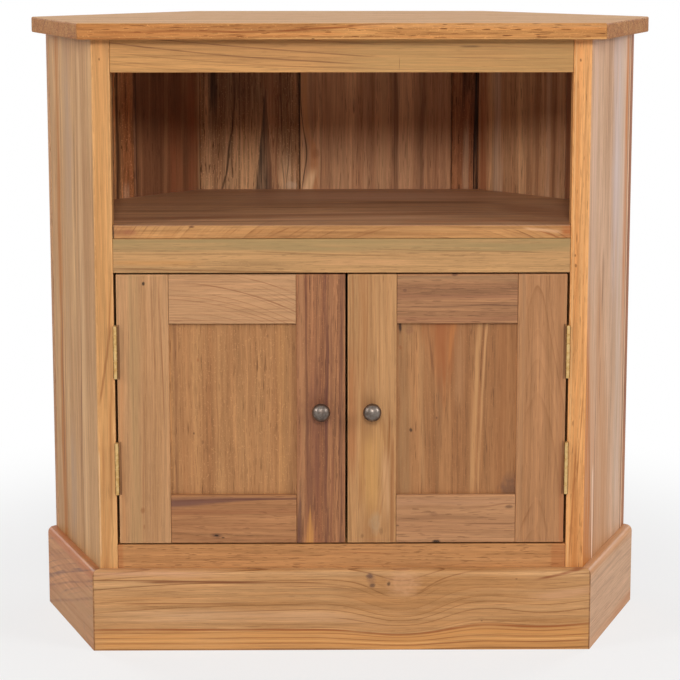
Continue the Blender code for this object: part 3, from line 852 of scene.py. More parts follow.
leftLockStile = {
    "pale": "aa754d", "deep": "8b5739", "line": "573022",
    "ringGap": 0.0034, "pithAcross": 0.16, "pithDepth": 0, "warp": 0.006, "figure": 0.55, "bands": 0.8,
    "pores": 0.7, "flecks": 0.5, "rays": 0.5, "fibre": 1.1,
    "streaks": [
        streak(-31, 9, 0.75, purpleBrown, 3, 180, 345, lean=-0.01, fade=40, soft=0.95, ragged=2.2),
        streak(-40, 5, 0.6, "744a36", 2, 150, 285, ragged=1.8),
        streak(-19, 3, 0.8, "62382c", 3, ragged=1.6),
        streak(-12, 2, 0.55, "704230", 2, ragged=1.6),
        streak(-1, 3.5, 0.7, "603a2c", 2, ragged=1.4),
        streak(-47.8, 6, 0.5, "bc885c", 2, 160, 470, ragged=1.2),
        streak(-42, 1.6, 0.6, "683e2c", 2),
        streak(
            -38.5, 6, 0.85, "c88a4a", 1, 112, 172,
            lean=0.02, fade=10, spread=-0.7, soft=0.95, ragged=1.6,
        ),
        streak(-34.5, 1.6, 0.8, "c48648", 1, 112, 150, lean=0.03, fade=12, ragged=1),
        streak(-50.5, 4, 0.8, "543832", 2, 110, 190, spread=-0.5),
    ],
    "marks": [mark(-27, 292, 26, 0.3, "60382e", stretch=1.5)],
}
dress("left_door_lock_stile", upright, leftLockStile)
leftBottomRail = {
    "pale": "ad794f", "deep": "96633e", "line": "693c25",
    "ringGap": 0.0042, "pithAcross": -0.08, "figure": 0.45, "bands": 0.6, "pores": 0.6, "flecks": 0.35,
    "streaks": [
        streak(181, 7, 0.85, "704a3e", 1, -240, -100, lean=0.05, fade=40, spread=-0.6),
        streak(183.5, 2.2, 0.85, "643c30", 1, -220, -30, lean=0.02),
        streak(168, 4, 0.35, "945a3a", 2),
        streak(161, 1, 0.5, "74462e", 1, -180, -80, lean=0.01),
    ],
    "marks": [
        mark(139.2, -150, 4.8, 0.6, "5c3a2c", stretch=2.1, lift=6),
        mark(139, -150, 1.7, 1, holeBlack, stretch=2.4),
        mark(136.5, -142, 1.2, 0.8, holeBlack, stretch=2.4),
    ],
}
dress("left_door_bottom_rail", crosswise, leftBottomRail)
leftPanel = {
    "pale": "b88555", "deep": "9d6b42", "line": "764828",
    "ringGap": 0.009, "pithAcross": 0.3, "pithDepth": 0.02, "figure": 0.3, "bands": 0.55, "cloud": 0.6,
    "pores": 0.8, "flecks": 0.35, "rays": 0.5, "warp": 0.014,
    "streaks": [
        streak(-143, 12, 0.35, "c89460", 4),
        streak(-72, 8, 0.4, "cc945c", 4),
        streak(-105, 6, 0.35, "98663e", 4),
        streak(-185, 14, 0.35, "9e6840", 4),
        streak(-57, 6, 0.55, "8c5c3a"),
        streak(-198, 3, 0.5, "78482e"),
        streak(-148, 1.2, 0.45, "825432", 2, 220, 390, lean=0.01),
    ],
    "marks": [
        mark(-170.5, 352, 2, 0.6, redBrown),
        mark(-176, 263, 1.3, 0.9, "503222"),
        mark(-165.5, 252, 2.2, 0.5, "68422c"),
        mark(-88, 381, 1.8, 0.5, "68422c"),
    ],
}
dress("left_door_panel", upright, leftPanel)

# Right door
rightLockStile = {
    "pale": "ba8a5b", "deep": "a67549", "line": "82512b",
    "ringGap": 0.0048, "pithAcross": -0.12, "pithDepth": 0.01, "lean": 0.01, "figure": 0.5,
    "bands": 0.7, "cloud": 0.6, "wear": 0.6,
    "streaks": [
        streak(13, 1.6, 0.6, "8c5830", 2, 330, 460),
        streak(25, 6.5, 0.65, "9e683c", 2, 180, 500, ragged=1.4),
        streak(54.5, 1.8, 0.9, "905a30", 0.4, 160, 290, lean=0.09, bend=-1),
        streak(49, 1, 0.6, "905a30", 0, 170, 270, lean=0.1, bend=-1),
        streak(60.5, 3, 0.6, "8c542e", 2, 120, 260),
        streak(31, 15, 0.55, "9c6a40", 2, 100, 165, ragged=1.4),
        streak(13, 9, 0.6, "a4643a", 2, 220, 360, fade=30),
        streak(31, 11, 0.6, "8a5e3c", 2, 250, 310, lean=0.03, fade=20, ragged=1.6),
        streak(35, 20, 0.55, "d09c5a", 4, 170, 270, fade=30, soft=0.95),
        streak(52, 6, 0.6, "9c6a3e", 4, 225, 290, lean=-0.25, fade=15, ragged=2.2),
        streak(20, 1.1, 0.7, "96643a", 1, 330, 455),
        streak(30, 1, 0.6, "96643a", 1, 340, 455),
        streak(51, 8, 0.65, "d0a072", 2, 165, 235, ragged=1.4),
        streak(44, 1.2, 0.7, "96643a", 1, 320, 455),
    ],
    "marks": [
        mark(40, 154, 9, 0.4, "b09878", stretch=2),
        mark(47, 144, 3, 0.45, "6e4e34", stretch=2),
        mark(24.5, 138, 2.6, 0.5, "6e4a30", stretch=1.6),
    ],
}
dress("right_door_lock_stile", upright, rightLockStile)
rightTopRail = {
    "pale": "ad7c54", "deep": "936645", "line": "6c432d",
    "ringGap": 0.0032, "pithAcross": -0.1, "lean": -0.02, "figure": 0.5, "bands": 0.6, "warp": 0.01,
    "pores": 0.7, "flecks": 0.4, "fibre": 1,
    "streaks": [
        streak(450.5, 5, 0.5, "967452", 1),
        streak(401.5, 5, 0.5, "925e42", 1),
        streak(428, 6, 0.4, "966248", 2),
        streak(417, 1.2, 0.5, "684230", 2),
        streak(437, 1, 0.5, "6c4632", 2),
    ],
    "marks": [
        mark(455.2, 133, 3, 0.8, "543428", stretch=1.6),
        mark(436.6, 74.4, 2.8, 0.55, "604030", stretch=1.2, lift=4),
    ],
}
dress("right_door_top_rail", crosswise, rightTopRail)
rightHingeStile = {
    "pale": "b58157", "deep": "9f6e46", "line": "82512f",
    "ringGap": 0.0055, "pithAcross": -0.004, "pithDepth": 0.02, "taper": 0.1, "warp": 0.01,
    "figure": 0.55, "bands": 0.7, "ringTone": 0.3,
    "streaks": [
        streak(262.5, 5, 0.65, "ac683e", 1, 120, 240),
        streak(260, 3, 0.35, "b0744c", 1, 240, 440),
        # Painted shadow of the hinge recesses: a dark line beside each hinge barrel
        streak(263.2, 1.7, 0.9, "603a1e", 0, 330, 396, fade=0.4, ragged=0.2),
        streak(263.2, 1.7, 0.9, "603a1e", 0, 189.5, 254.5, fade=0.4, ragged=0.2),
        streak(213, 4.5, 0.35, "a47c58"),
    ],
}
dress("right_door_hinge_stile", upright, rightHingeStile)
rightBottomRail = {
    "pale": "b7865d", "deep": "a4734e", "line": "784c30",
    "ringGap": 0.0075, "pithAcross": 0.11, "figure": 0.35, "bands": 0.35, "flecks": 0.45,
    "streaks": [
        streak(180, 8, 0.3, "c49470", 2),
        streak(153, 1, 0.7, "76462c", 0.5, 150, 210),
        streak(173.5, 1, 0.5, "76462c", 0.5, 160, 210),
    ],
    "marks": [
        mark(173.7, 200, 3, 0.7, "5c3c2c", stretch=2.1, lift=6),
        mark(165.5, 110, 4, 0.4, "7a503a", stretch=1.6, lift=4),
        mark(131, 113.1, 3, 1, holeBlack, stretch=2.2),
        mark(151, 66.5, 1.6, 0.7, "603c2a", stretch=1.6),
    ],
}
dress("right_door_bottom_rail", crosswise, rightBottomRail)
rightPanel = {
    "pale": "af7b4e", "deep": "92613b", "line": "6d4226",
    "ringGap": 0.008, "pithAcross": -0.3, "pithDepth": 0.02, "lean": 0.01, "figure": 0.22, "bands": 0.8,
    "cloud": 0.6, "pores": 0.6, "rays": 0.25,
    "streaks": [
        streak(74, 13, 0.5, "b0885c", 3),
        streak(95, 5, 0.4, "b08458", 3, 200, 380),
        streak(138.5, 10, 0.5, "b28056", 3, 300, 420, lean=-0.03),
        streak(158.5, 4.5, 0.7, "c49260", 1, 190, 410, lean=0.04, bend=0.15),
        streak(166.5, 2.2, 0.65, "ca9664", 1, 190, 410, lean=0.045, bend=0.15),
        streak(195, 18, 0.6, "98623a", 2),
        streak(118.5, 21, 0.8, "a06238", 2, 290, 430, lean=-0.05, fade=12, spread=0.9, soft=0.8, ragged=1.2),
        streak(
            118.5, 11, 0.75, "9a5c34", 2, 318, 420,
            lean=-0.05, fade=10, spread=0.9, soft=0.8, ragged=1.2,
        ),
        streak(129, 4, 0.8, "ba7640", 2, 345, 400, lean=0.1, fade=10, spread=0.6, ragged=1),
        streak(120.5, 3, 0.5, "94562e", 2, 325, 372, lean=-0.05, fade=10, spread=0.5, ragged=1.2),
        streak(104, 2.2, 0.7, "764a2c", 2, 335, 400, lean=-0.1, ragged=1.2),
        streak(116, 6, 0.4, "785034", 3, 250, 335, lean=0.02, fade=20),
        streak(69.2, 2, 0.9, "40281e", 0, 385, 420, fade=4),
    ],
    "marks": [
        mark(205, 195, 21, 0.7, "704e3c", stretch=1.2),
        mark(69, 392, 2.6, 0.9, "40281e", stretch=2.6),
        mark(80, 388, 6, 0.4, "784838", stretch=1.2),
        mark(69.5, 367, 2.4, 0.5, redBrown, stretch=1.6),
        mark(113, 281.5, 1.5, 0.7, "5c3a26"),
        mark(82.4, 266.8, 2.2, 0.9, "3e281c"),
    ],
}
dress("right_door_panel", upright, rightPanel)
print("front dressed")

# Shelf, bottom board and cleats
shelfBoard = {
    "pale": "c6915a", "deep": "a57040", "line": "6f3f1f",
    "ringGap": 0.009, "pithAcross": -0.176, "pithDepth": -0.06, "taper": -0.4, "bend": 2, "warp": 0.006,
    "figure": 0.9, "bands": 1.2, "plankA": -0.07, "plankB": 0.022, "plankC": 0.104, "plankTone": 0.6,
    "faces": [
        (front, crosswise, [
            streak(506, 12, 0.7, "925838", 2, -300, -243, fade=12, ragged=1.6),
            # Painted shade: a near-black band over the left end of the front edge, in the corner beside the
            # left stile
            streak(506, 12, 0.95, holeBlack, 2, -300, -266.3, fade=0.5, soft=0.1, ragged=0),
            streak(506, 12, 0.75, "a8582a", 2, 258, 300, fade=4),
            streak(504.5, 1.1, 0.7, "925c32", 0, 12, 52, lean=0.33, fade=3),
            streak(506, 1.1, 0.6, "925c32", 0, 188, 212, lean=-0.3, fade=3),
            streak(505, 1.2, 0.7, "965028", 0, 220, 256, lean=-0.34, fade=3),
            streak(508, 3, 0.6, "deaa7c", 0, 215, 256, lean=-0.1, fade=6),
            streak(506, 1.2, 0.7, "8e5a32", 0, -84, -62, lean=0.45, fade=3),
        ], [
            mark(512.6, -176, 1.8, 0.9, "562c1a", stretch=2.6),
            mark(506, -248, 5, 0.4, "96543c", stretch=2.2),
        ]),
        (above, flat, [
            # Painted sheen: a greyer, less saturated wash over the whole top face
            streak(0, 300, 0.55, "b28c76", soft=0.02, ragged=0),
            streak(-118, 14, 0.6, "d4a27c", 4, -300, 120, lean=0.12, fade=50),
            streak(-85, 20, 0.6, "885436", 4, -300, 160, lean=0.14, fade=60),
            streak(-158, 6, 0.5, "e0ac84", 2, -250, 0),
            streak(-135, 10, 0.5, "aa603c", 4, 80, 240),
            streak(-40, 16, 0.35, "8c6046", 4, 0, 240),
            streak(100, 60, 0.4, "e2baa0", 4, -100, 160, fade=100),
            streak(-70, 60, 0.5, "7e462c", 2, 200, 340, lean=-0.8, fade=20, soft=0.6),
            streak(-136, 5.5, 0.75, "78482a", 3, -280, -50, lean=0.06, fade=30),
            streak(-40, 12, 0.65, "74462a", 3, -280, -140, fade=30),
            streak(-6, 6, 0.7, "76482c", 3, -100, 50, fade=30),
            streak(42, 15, 0.75, "74462a", 3, 30, 190, fade=40),
            streak(68, 7, 0.6, "deb28c", 3, 20, 130, fade=30),
            streak(-55, 4, 0.7, "deac84", 3, -100, 200, lean=0.08, fade=40),
        ], []),
    ],
}
dress("shelf_board", flat, shelfBoard)
bottomBoard = dict(shelfBoard, plankTone=0.5, seed=31, taper=0.1, bend=0.4, faces=[])
dress("bottom_board", flat, bottomBoard)
cleat = {
    "pale": "b07e54", "deep": "92623e", "line": "683e26",
    "ringGap": 0.006, "figure": 0.5, "pores": 0.5, "wear": 0.3,
}
for level in ("top", "shelf", "bottom"):
    for side, turned in (("left", (-sideRun.x, sideRun.y, 0)), ("right", sideRun)):
        dress(level + "_cleat_" + side, lay((0, 0, 1), turned), cleat)
for level in ("shelf", "bottom"):
    dress(level + "_cleat_back", crosswise, cleat)
dress("catch_block", crosswise, cleat)

# Back boards: centre-left is rough sawn with black heartwood and a dark band across its top that is partly
# heartwood and partly painted shade; the right strip has a painted shadow down its right edge; the others
# are smoother
backBoard = {
    "pale": "d6a476", "deep": "a67650", "line": "5e3a24",
    "ringGap": 0.01, "pithDepth": 0.03, "figure": 0.4, "bands": 0.8, "cloud": 0.7, "pores": 0.6,
    "gloss": 0.6,
}
roughBoard = dict(
    backBoard, fibre=1.7, flecks=0.7, warp=0.016, ringGap=0.006, figure=0.9, rays=0.6, gloss=0.72,
)
dress("centre_back_board_left", upright, dict(roughBoard, streaks=[
    streak(-144, 2.2, 0.85, "3a241a", 3, 500, 660, lean=0.13, bend=-0.8, fade=30),
    streak(-167.5, 8.5, 0.9, "2e1e18", 3, 610, 750, fade=40),
    # Partly dark heartwood and partly painted shade: a wide dark band across the top of the board, where the
    # top rail shades the compartment
    streak(-123, 60, 0.55, "5c3a28", 3, 615, 800, fade=35, soft=0.5, ragged=1.6),
    streak(-118, 1.4, 0.7, "4a2e20", 3, lean=0.06),
    streak(-99, 8.5, 0.97, "503e32", 1.6, 470, 648, lean=0.02, fade=4, spread=-0.92, soft=0.2, ragged=0.35),
    streak(-70, 14, 0.5, "ac704c", 2, lean=-0.03),
    streak(-71, 15, 0.65, "ecbe92", 2, 490, 556, fade=20, ragged=2.4),
    streak(-125, 18, 0.5, "e8b27e", 2, 490, 590, fade=30, ragged=1.2),
    streak(-77, 1.2, 0.7, "4a2c1e", 4, lean=0.02),
    streak(-63, 1.2, 0.7, "4a2c1e", 4, lean=-0.02),
    streak(-188, 1.6, 0.9, holeBlack, 0, ragged=0.2),
    streak(-52.8, 1.4, 0.9, holeBlack, 0, ragged=0.2),
], marks=[
    mark(-64, 519, 10, 0.5, "dcba9c", stretch=0.7),
]))
smoothBoard = dict(backBoard, pithAcross=-0.3, ringGap=0.014, figure=0.25, pale="e2ac7e", deep="b07c56")
dress("centre_back_board_middle", upright, dict(smoothBoard, streaks=[
    streak(-47, 5, 0.8, "d69a64", 1, 585, 700, lean=0.03, fade=10, ragged=0.5),
    streak(-42, 9.5, 0.9, "ce8a58", 1, 480, 582, lean=-0.1, fade=10, spread=-0.5, ragged=0.7),
    streak(-45, 7, 0.85, "face9c", 2, 470, 538, fade=10, ragged=1),
    streak(-32, 1.2, 0.6, "6e4028", 1, 500, 575, lean=-0.1),
    streak(42, 8, 0.35, "7e5034", 2),
    streak(57.5, 9, 0.4, "d6a476", 2),
    streak(76.5, 5, 0.75, "6a422c", 2),
    streak(110, 6, 0.65, "70462e", 2),
    streak(133, 9, 0.5, "965c3c", 2),
    streak(-51.5, 0.8, 0.8, holeBlack, 0, ragged=0.2),
    streak(149.2, 1.2, 0.9, holeBlack, 0, ragged=0.2),
], marks=[
    mark(-31, 562, 8, 0.4, "8c5032", stretch=1.3, lift=12),
]))
dress("centre_back_board_right", upright, dict(roughBoard, pale="ba7c50", deep="8c5636", streaks=[
    # Painted shadow: a near-black band down the strip's right edge, for the gap where it meets the right
    # wall
    streak(182, 3.6, 0.97, "140c09", 1, 0, 750, soft=0.3, ragged=1.3),
    streak(168, 8, 0.8, "40261a", 2, 640, 750, ragged=1.5),
    streak(169, 6, 0.5, "deb48c", 2, 500, 600, ragged=1.8),
]))
backRun = Vector((1, -1, 0)).normalized()
leftWallLay = lay((-backRun.x, backRun.y, 0), (0, 0, 1), (-0.190, 0.192, 0))
rightWallLay = lay(backRun, (0, 0, 1), (0.190, 0.192, 0))
dress("left_back_board_1", leftWallLay, dict(smoothBoard, pale="b27c54", deep="805236", cloud=1.2, streaks=[
    streak(6, 5, 0.7, "cea276", 1),
    streak(20, 12, 0.4, "ba6e48", 3, 480, 660),
    streak(48, 17, 0.4, "b46842", 3, 420, 600, fade=40),
    streak(100, 3, 0.6, "5c3624", 3, lean=0.06),
    streak(115.2, 1.4, 0.95, holeBlack, 0, ragged=0.2),
]))
dress("left_back_board_2", leftWallLay, dict(roughBoard, pale="e2a068", deep="b06e42", streaks=[
    streak(147, 5, 0.9, "3c2418", 1),
    streak(132, 10, 0.6, "dcb08c", 2, 440, 530, fade=10, ragged=1.6),
    streak(120, 2, 0.6, "603622", 2),
]))
dress("left_back_board_3", leftWallLay, dict(backBoard, flecks=0.6))
dress("right_back_board_1", rightWallLay, dict(smoothBoard, pale="daa87a", streaks=[
    streak(14, 12, 0.7, "a45c38", 1),
    streak(37, 8, 0.65, "70442c", 2),
    streak(56, 11, 0.7, "e0ba98", 3, lean=-0.03),
    streak(108, 7, 0.45, "8c583a", 3),
    streak(124, 6, 0.6, "deb48e", 3),
    streak(135, 4, 0.6, "74462e", 2),
    streak(142, 4, 0.5, "d6a880", 2),
]))
dress("right_back_board_2", rightWallLay, dict(backBoard, pale="b47a54", deep="885438"))
print("carcass dressed")


# Metal and plastic finishes
metalBump = {"Strength": 0.3, "Distance": 0.00008}


def darker(code, share):
    return (*[part * share for part in tint(code)[:3]], 1.0)


def fittingMaterial(name, base, aged, roughness, metallic=1.0, grime=0.4, size=1.0, paintedSideShade=0.0):
    material, tree, shader = newMaterial(name)
    here = put(tree, "ShaderNodeTexCoord").outputs
    cloud, speck, brushed = [
        noise(here["Object"], Vector(scale) * size, detail, roughening)[0]
        for scale, detail, roughening in (
            ((170, 170, 170), 4, 0.6),
            ((1300, 1300, 1300), 2, 0.6),
            ((2600, 2600, 260), 2, 0.5),
        )
    ]
    worn = ease(cloud, 0.36, 0.66)
    dirt = times(ease(speck, 0.58, 0.74), grime)
    color = blend(dirt, blend(worn, base, aged), darker(aged, 0.45))
    # Painted shade: faces that turn sideways, along x, such as the flanks of the hinge barrels, get a darker
    # colour
    if paintedSideShade:
        sideways = absolute(split(here["Normal"])[0])
        sideShadeMask = times(ease(sideways, 0.45, 0.95), paintedSideShade)
        color = blend(sideShadeMask, color, darker(aged, 0.30))
    rough = timesAdd(worn, 0.14, roughness)
    rough = timesAdd(minus(speck, 0.5), 0.25, rough)
    feed(shader.inputs["Metallic"], metallic)
    finishShader(shader, color, rough, timesAdd(brushed, 0.5, speck), metalBump)
    return material


# The brass hinges get painted shade on their sideways faces
brass = fittingMaterial("agedBrass", "d3b179", "bc945a", 0.34, paintedSideShade=0.9)
pewter = fittingMaterial("darkPewter", "7a7068", "5c5048", 0.30, grime=0.6)
steel = fittingMaterial("dullSteel", "babab6", "96928a", 0.34)
catchPlastic = fittingMaterial("brownPlastic", "62422c", "543624", 0.45, metallic=0.0, grime=0.2)
recessDark = fittingMaterial("recessDark", "463c2c", "2c261e", 0.6, grime=0.6)


# Shapes for the fittings. What is new in a shape is moved into place by a matrix, then tagged
def settle(shape, matrix=Matrix.Identity(4)):
    fresh = [v for v in shape.verts if not v.tag]
    bmesh.ops.transform(shape, matrix=matrix, verts=fresh)
    for v in shape.verts:
        v.tag = True


# The z axis of a fitting's own shape turned towards the given direction
def facing(place, direction):
    return Matrix.Translation(place) @ Vector(direction).to_track_quat("Z", "Y").to_matrix().to_4x4()


# A profile of radius and height, in millimetres, turned round the z axis
def turned(shape, profile, matrix, closed=False, steps=48):
    points = [shape.verts.new((radius / 1000, 0, height / 1000)) for radius, height in profile]
    edges = [shape.edges.new(pair) for pair in zip(points, points[1:])]
    if closed:
        edges.append(shape.edges.new((points[-1], points[0])))
    made, circle = points + edges, 2 * math.pi
    bmesh.ops.spin(shape, geom=made, axis=(0, 0, 1), angle=circle, steps=steps, use_merge=True)
    fresh = [v for v in shape.verts if not v.tag]
    bmesh.ops.remove_doubles(shape, verts=fresh, dist=0.000001)
    settle(shape, matrix)


def bevel(shape, edges, offset, segments):
    bmesh.ops.bevel(
        shape, geom=edges, offset=offset, segments=segments, profile=0.5, affect="EDGES", material=-1,
    )


def cube(shape, low, high):
    low, high = Vector(low), Vector(high)
    stretch = Matrix.Translation((low + high) / 2) @ Matrix.Diagonal((*(high - low), 1.0))
    return bmesh.ops.create_cube(shape, size=1, matrix=stretch)["verts"]


def block(shape, low, high, soft=0.0, segments=2, matrix=Matrix.Identity(4)):
    made = cube(shape, low, high)
    if soft:
        bevel(shape, list({e for v in made for e in v.link_edges}), soft, segments)
    settle(shape, matrix)


# A plate with round corners on the edges along one axis, only on those that lie beyond a given y
def plate(shape, low, high, axis, corner, steps, rim, beyond=-9):
    cube(shape, low, high)
    corners = [
        e for e in shape.edges
        if abs(e.verts[0].co[axis] - e.verts[1].co[axis]) > 0.0005 and e.verts[0].co.y > beyond
    ]
    bevel(shape, corners, corner, steps)
    bevel(shape, [e for e in shape.edges if e.is_manifold and e.calc_face_angle() > 1.2], rim, 2)
    settle(shape)


# The new vertices of an extruded edge loop, and its new open edges
def extruded(shape, edges):
    made = bmesh.ops.extrude_edge_only(shape, edges=edges)["geom"]
    verts = [g for g in made if isinstance(g, bmesh.types.BMVert)]
    return verts, [g for g in made if isinstance(g, bmesh.types.BMEdge) and g.is_boundary]


# Screw heads have a cross recess, with shares of the head's radius
head = {
    "sides": 24,
    "faceShare": 0.9,
    "crossShare": 0.58,
    "innerCorner": 0.36,
    "innerSide": 0.45,
    "deepest": 0.0012,
    "foot": 0.0003,
}


def screwHead(shape, radius, matrix, proud=0.0001, dome=0.0):
    ring = partial(bmesh.ops.create_circle, shape, cap_ends=False, segments=head["sides"])
    outer = ring(radius=radius * head["faceShare"])["verts"]
    inner = ring(radius=radius * head["crossShare"])["verts"]
    for v in inner:
        quarter = math.degrees(math.atan2(v.co.y, v.co.x)) % 90
        if 20 < quarter < 70:
            v.co *= head["innerCorner"] if 40 < quarter < 50 else head["innerSide"]
    for v in outer + inner:
        v.co.z = proud + dome * (1 - (v.co.xy.length / radius) ** 2)
    outerEdges = list({e for v in outer for e in v.link_edges})
    innerEdges = list({e for v in inner for e in v.link_edges})
    bmesh.ops.bridge_loops(shape, edges=outerEdges + innerEdges)
    down, border = extruded(shape, innerEdges)
    bmesh.ops.translate(shape, vec=(0, 0, -min(0.8 * (proud + dome), head["deepest"])), verts=down)
    caps = bmesh.ops.edgeloop_fill(shape, edges=border)["faces"]
    for face in caps + [f for v in down for f in v.link_faces]:
        face.material_index = 1
    rim, border = extruded(shape, outerEdges)
    for v in rim:
        v.co = (v.co.x / head["faceShare"], v.co.y / head["faceShare"], 0.25 * proud)
    foot, border = extruded(shape, border)
    for v in foot:
        v.co.z = -head["foot"]
    bmesh.ops.edgeloop_fill(shape, edges=border)
    settle(shape, matrix)


def piece(name, shape, materials, body, slot, *replaced, smooth=35):
    bmesh.ops.remove_doubles(shape, verts=shape.verts, dist=0.000002)
    bmesh.ops.recalc_face_normals(shape, faces=shape.faces)
    mesh = bpy.data.meshes.new(name)
    shape.to_mesh(mesh)
    shape.free()
    for polygon in mesh.polygons:
        polygon.use_smooth = True
    mesh.set_sharp_from_angle(angle=math.radians(smooth))
    for material in materials:
        mesh.materials.append(material)
    thing = bpy.data.objects.new(name, mesh)
    bpy.context.scene.collection.objects.link(thing)
    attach(thing, body)
    if replaced:
        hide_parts(*replaced)


# Knobs, turned in one piece with foot and neck, and the screws that hold them; in millimetres
knob = {
    "foot": [(0.0, 0.0), (7.0, 0.0), (7.2, 0.3), (7.2, 1.2), (6.9, 1.7), (5.4, 2.2), (4.5, 3.1)],
    "neck": [(4.2, 4.4), (4.3, 5.5)],
    "radius": 10.88,
    "halfLength": 8.45,
    "middle": 14.5,
    "tip": [(2.5, 22.75), (1.9, 22.65), (1.5, 22.8), (0.0, 22.9)],
    "turns": 22,
    "seatGap": 0.35,
    "screwRadius": 4.2,
    "screwDrops": (0.9, 3.1),
    "screwFlange": [(0, 0), (2.1, 0), (4.0, 1.5), (4.1, 2.1), (0, 2.1)],
    "screwShank": [(0, 0), (1.2, 0.4), (1.7, 1.8), (1.7, 30), (0, 30)],
}


def knobProfile():
    points = knob["foot"] + knob["neck"]
    for number in range(knob["turns"] + 1):
        angle = math.radians(28 + 139 * number / knob["turns"])
        radius = knob["radius"] * math.sin(angle)
        points.append((radius, knob["middle"] - knob["halfLength"] * math.cos(angle)))
    return points + knob["tip"]


for side in ("left", "right"):
    low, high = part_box(side + "_knob")
    middle = (low + high) / 2
    seat = (middle.x, high.y + knob["seatGap"] / 1000, middle.z)
    shape = bmesh.new()
    turned(shape, knobProfile(), facing(seat, (0, -1, 0)), steps=64)
    piece(side + "_turned_knob", shape, [pewter], side + "_door", "pewter", side + "_knob", smooth=50)
    low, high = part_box(side + "_knob_screw")
    shape = bmesh.new()
    depths = [high.y - drop / 1000 for drop in knob["screwDrops"]] + [low.y]
    top, under, tip = [facing((middle.x, y, middle.z), (0, 1, 0)) for y in depths]
    screwHead(shape, knob["screwRadius"] / 1000, top, proud=0.0002, dome=0.0007)
    turned(shape, knob["screwFlange"], under, steps=24)
    turned(shape, knob["screwShank"], tip, steps=20)
    name = side + "_pan_head_screw"
    piece(name, shape, [steel, recessDark], side + "_door", "steel", side + "_knob_screw")
print("knobs turned")

# Butt hinges: six knuckles, the lowest on the frame leaf, three screws in each leaf
hinge = {
    "knuckles": 6,
    "barrel": 0.00272,
    "bore": 0.00128,
    "rim": 0.0003,
    "play": 0.0002,
    "leaf": 0.0009,
    "gap": 0.00012,
    "screw": 0.0023,
    "screwInset": 0.0095,
    "screwProud": 0.00011,
    "corner": 0.0016,
    "edge": 0.00012,
    "webStart": 0.0021,
    "webEnd": 0.0004,
    "screwSteps": (-0.0008, 0.0022, -0.0008),
    "pinProfile": [(0, -0.4), (0.6, -0.3), (1.14, 0.1)],  # lower end, in millimetres
}


def makeLeaf(side, level, onFrame):
    sign = -1 if side == "left" else 1
    name = side + "_" + level + "_hinge"
    node = name + ("_frame_leaf" if onFrame else "_door_leaf")
    low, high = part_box(node)
    axis = sum(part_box(name + "_pin"), Vector()) / 2
    away = sign if onFrame else -sign
    near = axis.x + away * hinge["play"]
    left, right = sorted((near, near + away * hinge["leaf"]))
    shape = bmesh.new()
    corner, edge = hinge["corner"], hinge["edge"]
    plate(shape, (left, frontPlane, low.z), (right, high.y, high.z), 0, corner, 4, edge, high.y - 0.001)
    step = (high.z - low.z) / hinge["knuckles"]
    tall = step - hinge["gap"]
    lengths = (hinge["barrel"], hinge["bore"], hinge["rim"], tall)
    radius, bore, rim, end = [1000 * length for length in lengths]
    profile = [
        (bore, 0), (radius - rim, 0), (radius, rim), (radius, end - rim), (radius - rim, end), (bore, end),
    ]
    for number in range(0 if onFrame else 1, hinge["knuckles"], 2):
        base = low.z + number * step + hinge["gap"] / 2
        turned(shape, profile, Matrix.Translation((axis.x, axis.y, base)), closed=True, steps=36)
        webLow = (left, axis.y + hinge["webStart"], base)
        webHigh = (right, frontPlane + hinge["webEnd"], base + tall)
        block(shape, webLow, webHigh, 0.0001, 1)
    across = (frontPlane + high.y) / 2
    for number, aside in zip((-1, 0, 1), hinge["screwSteps"]):
        height = axis.z + number * (step * 3 - hinge["screwInset"])
        spot = facing((near, across + aside, height), (-away, 0, 0))
        screwHead(shape, hinge["screw"], spot, proud=hinge["screwProud"])
    body = "root" if onFrame else side + "_door"
    label = "_frame_wing" if onFrame else "_door_wing"
    piece(name + label, shape, [brass, recessDark], body, "brass", node)


for side in ("left", "right"):
    for level in ("upper", "lower"):
        for onFrame in (True, False):
            makeLeaf(side, level, onFrame)
        name = side + "_" + level + "_hinge"
        low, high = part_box(name + "_pin")
        middle = (low + high) / 2
        tall = 1000 * (high.z - low.z)
        lower = hinge["pinProfile"]
        profile = lower + [(radius, tall - height) for radius, height in reversed(lower)]
        shape = bmesh.new()
        turned(shape, profile, Matrix.Translation((middle.x, middle.y, low.z)), steps=24)
        piece(name + "_rod", shape, [brass], "root", "brass", name + "_pin")
print("hinges made")

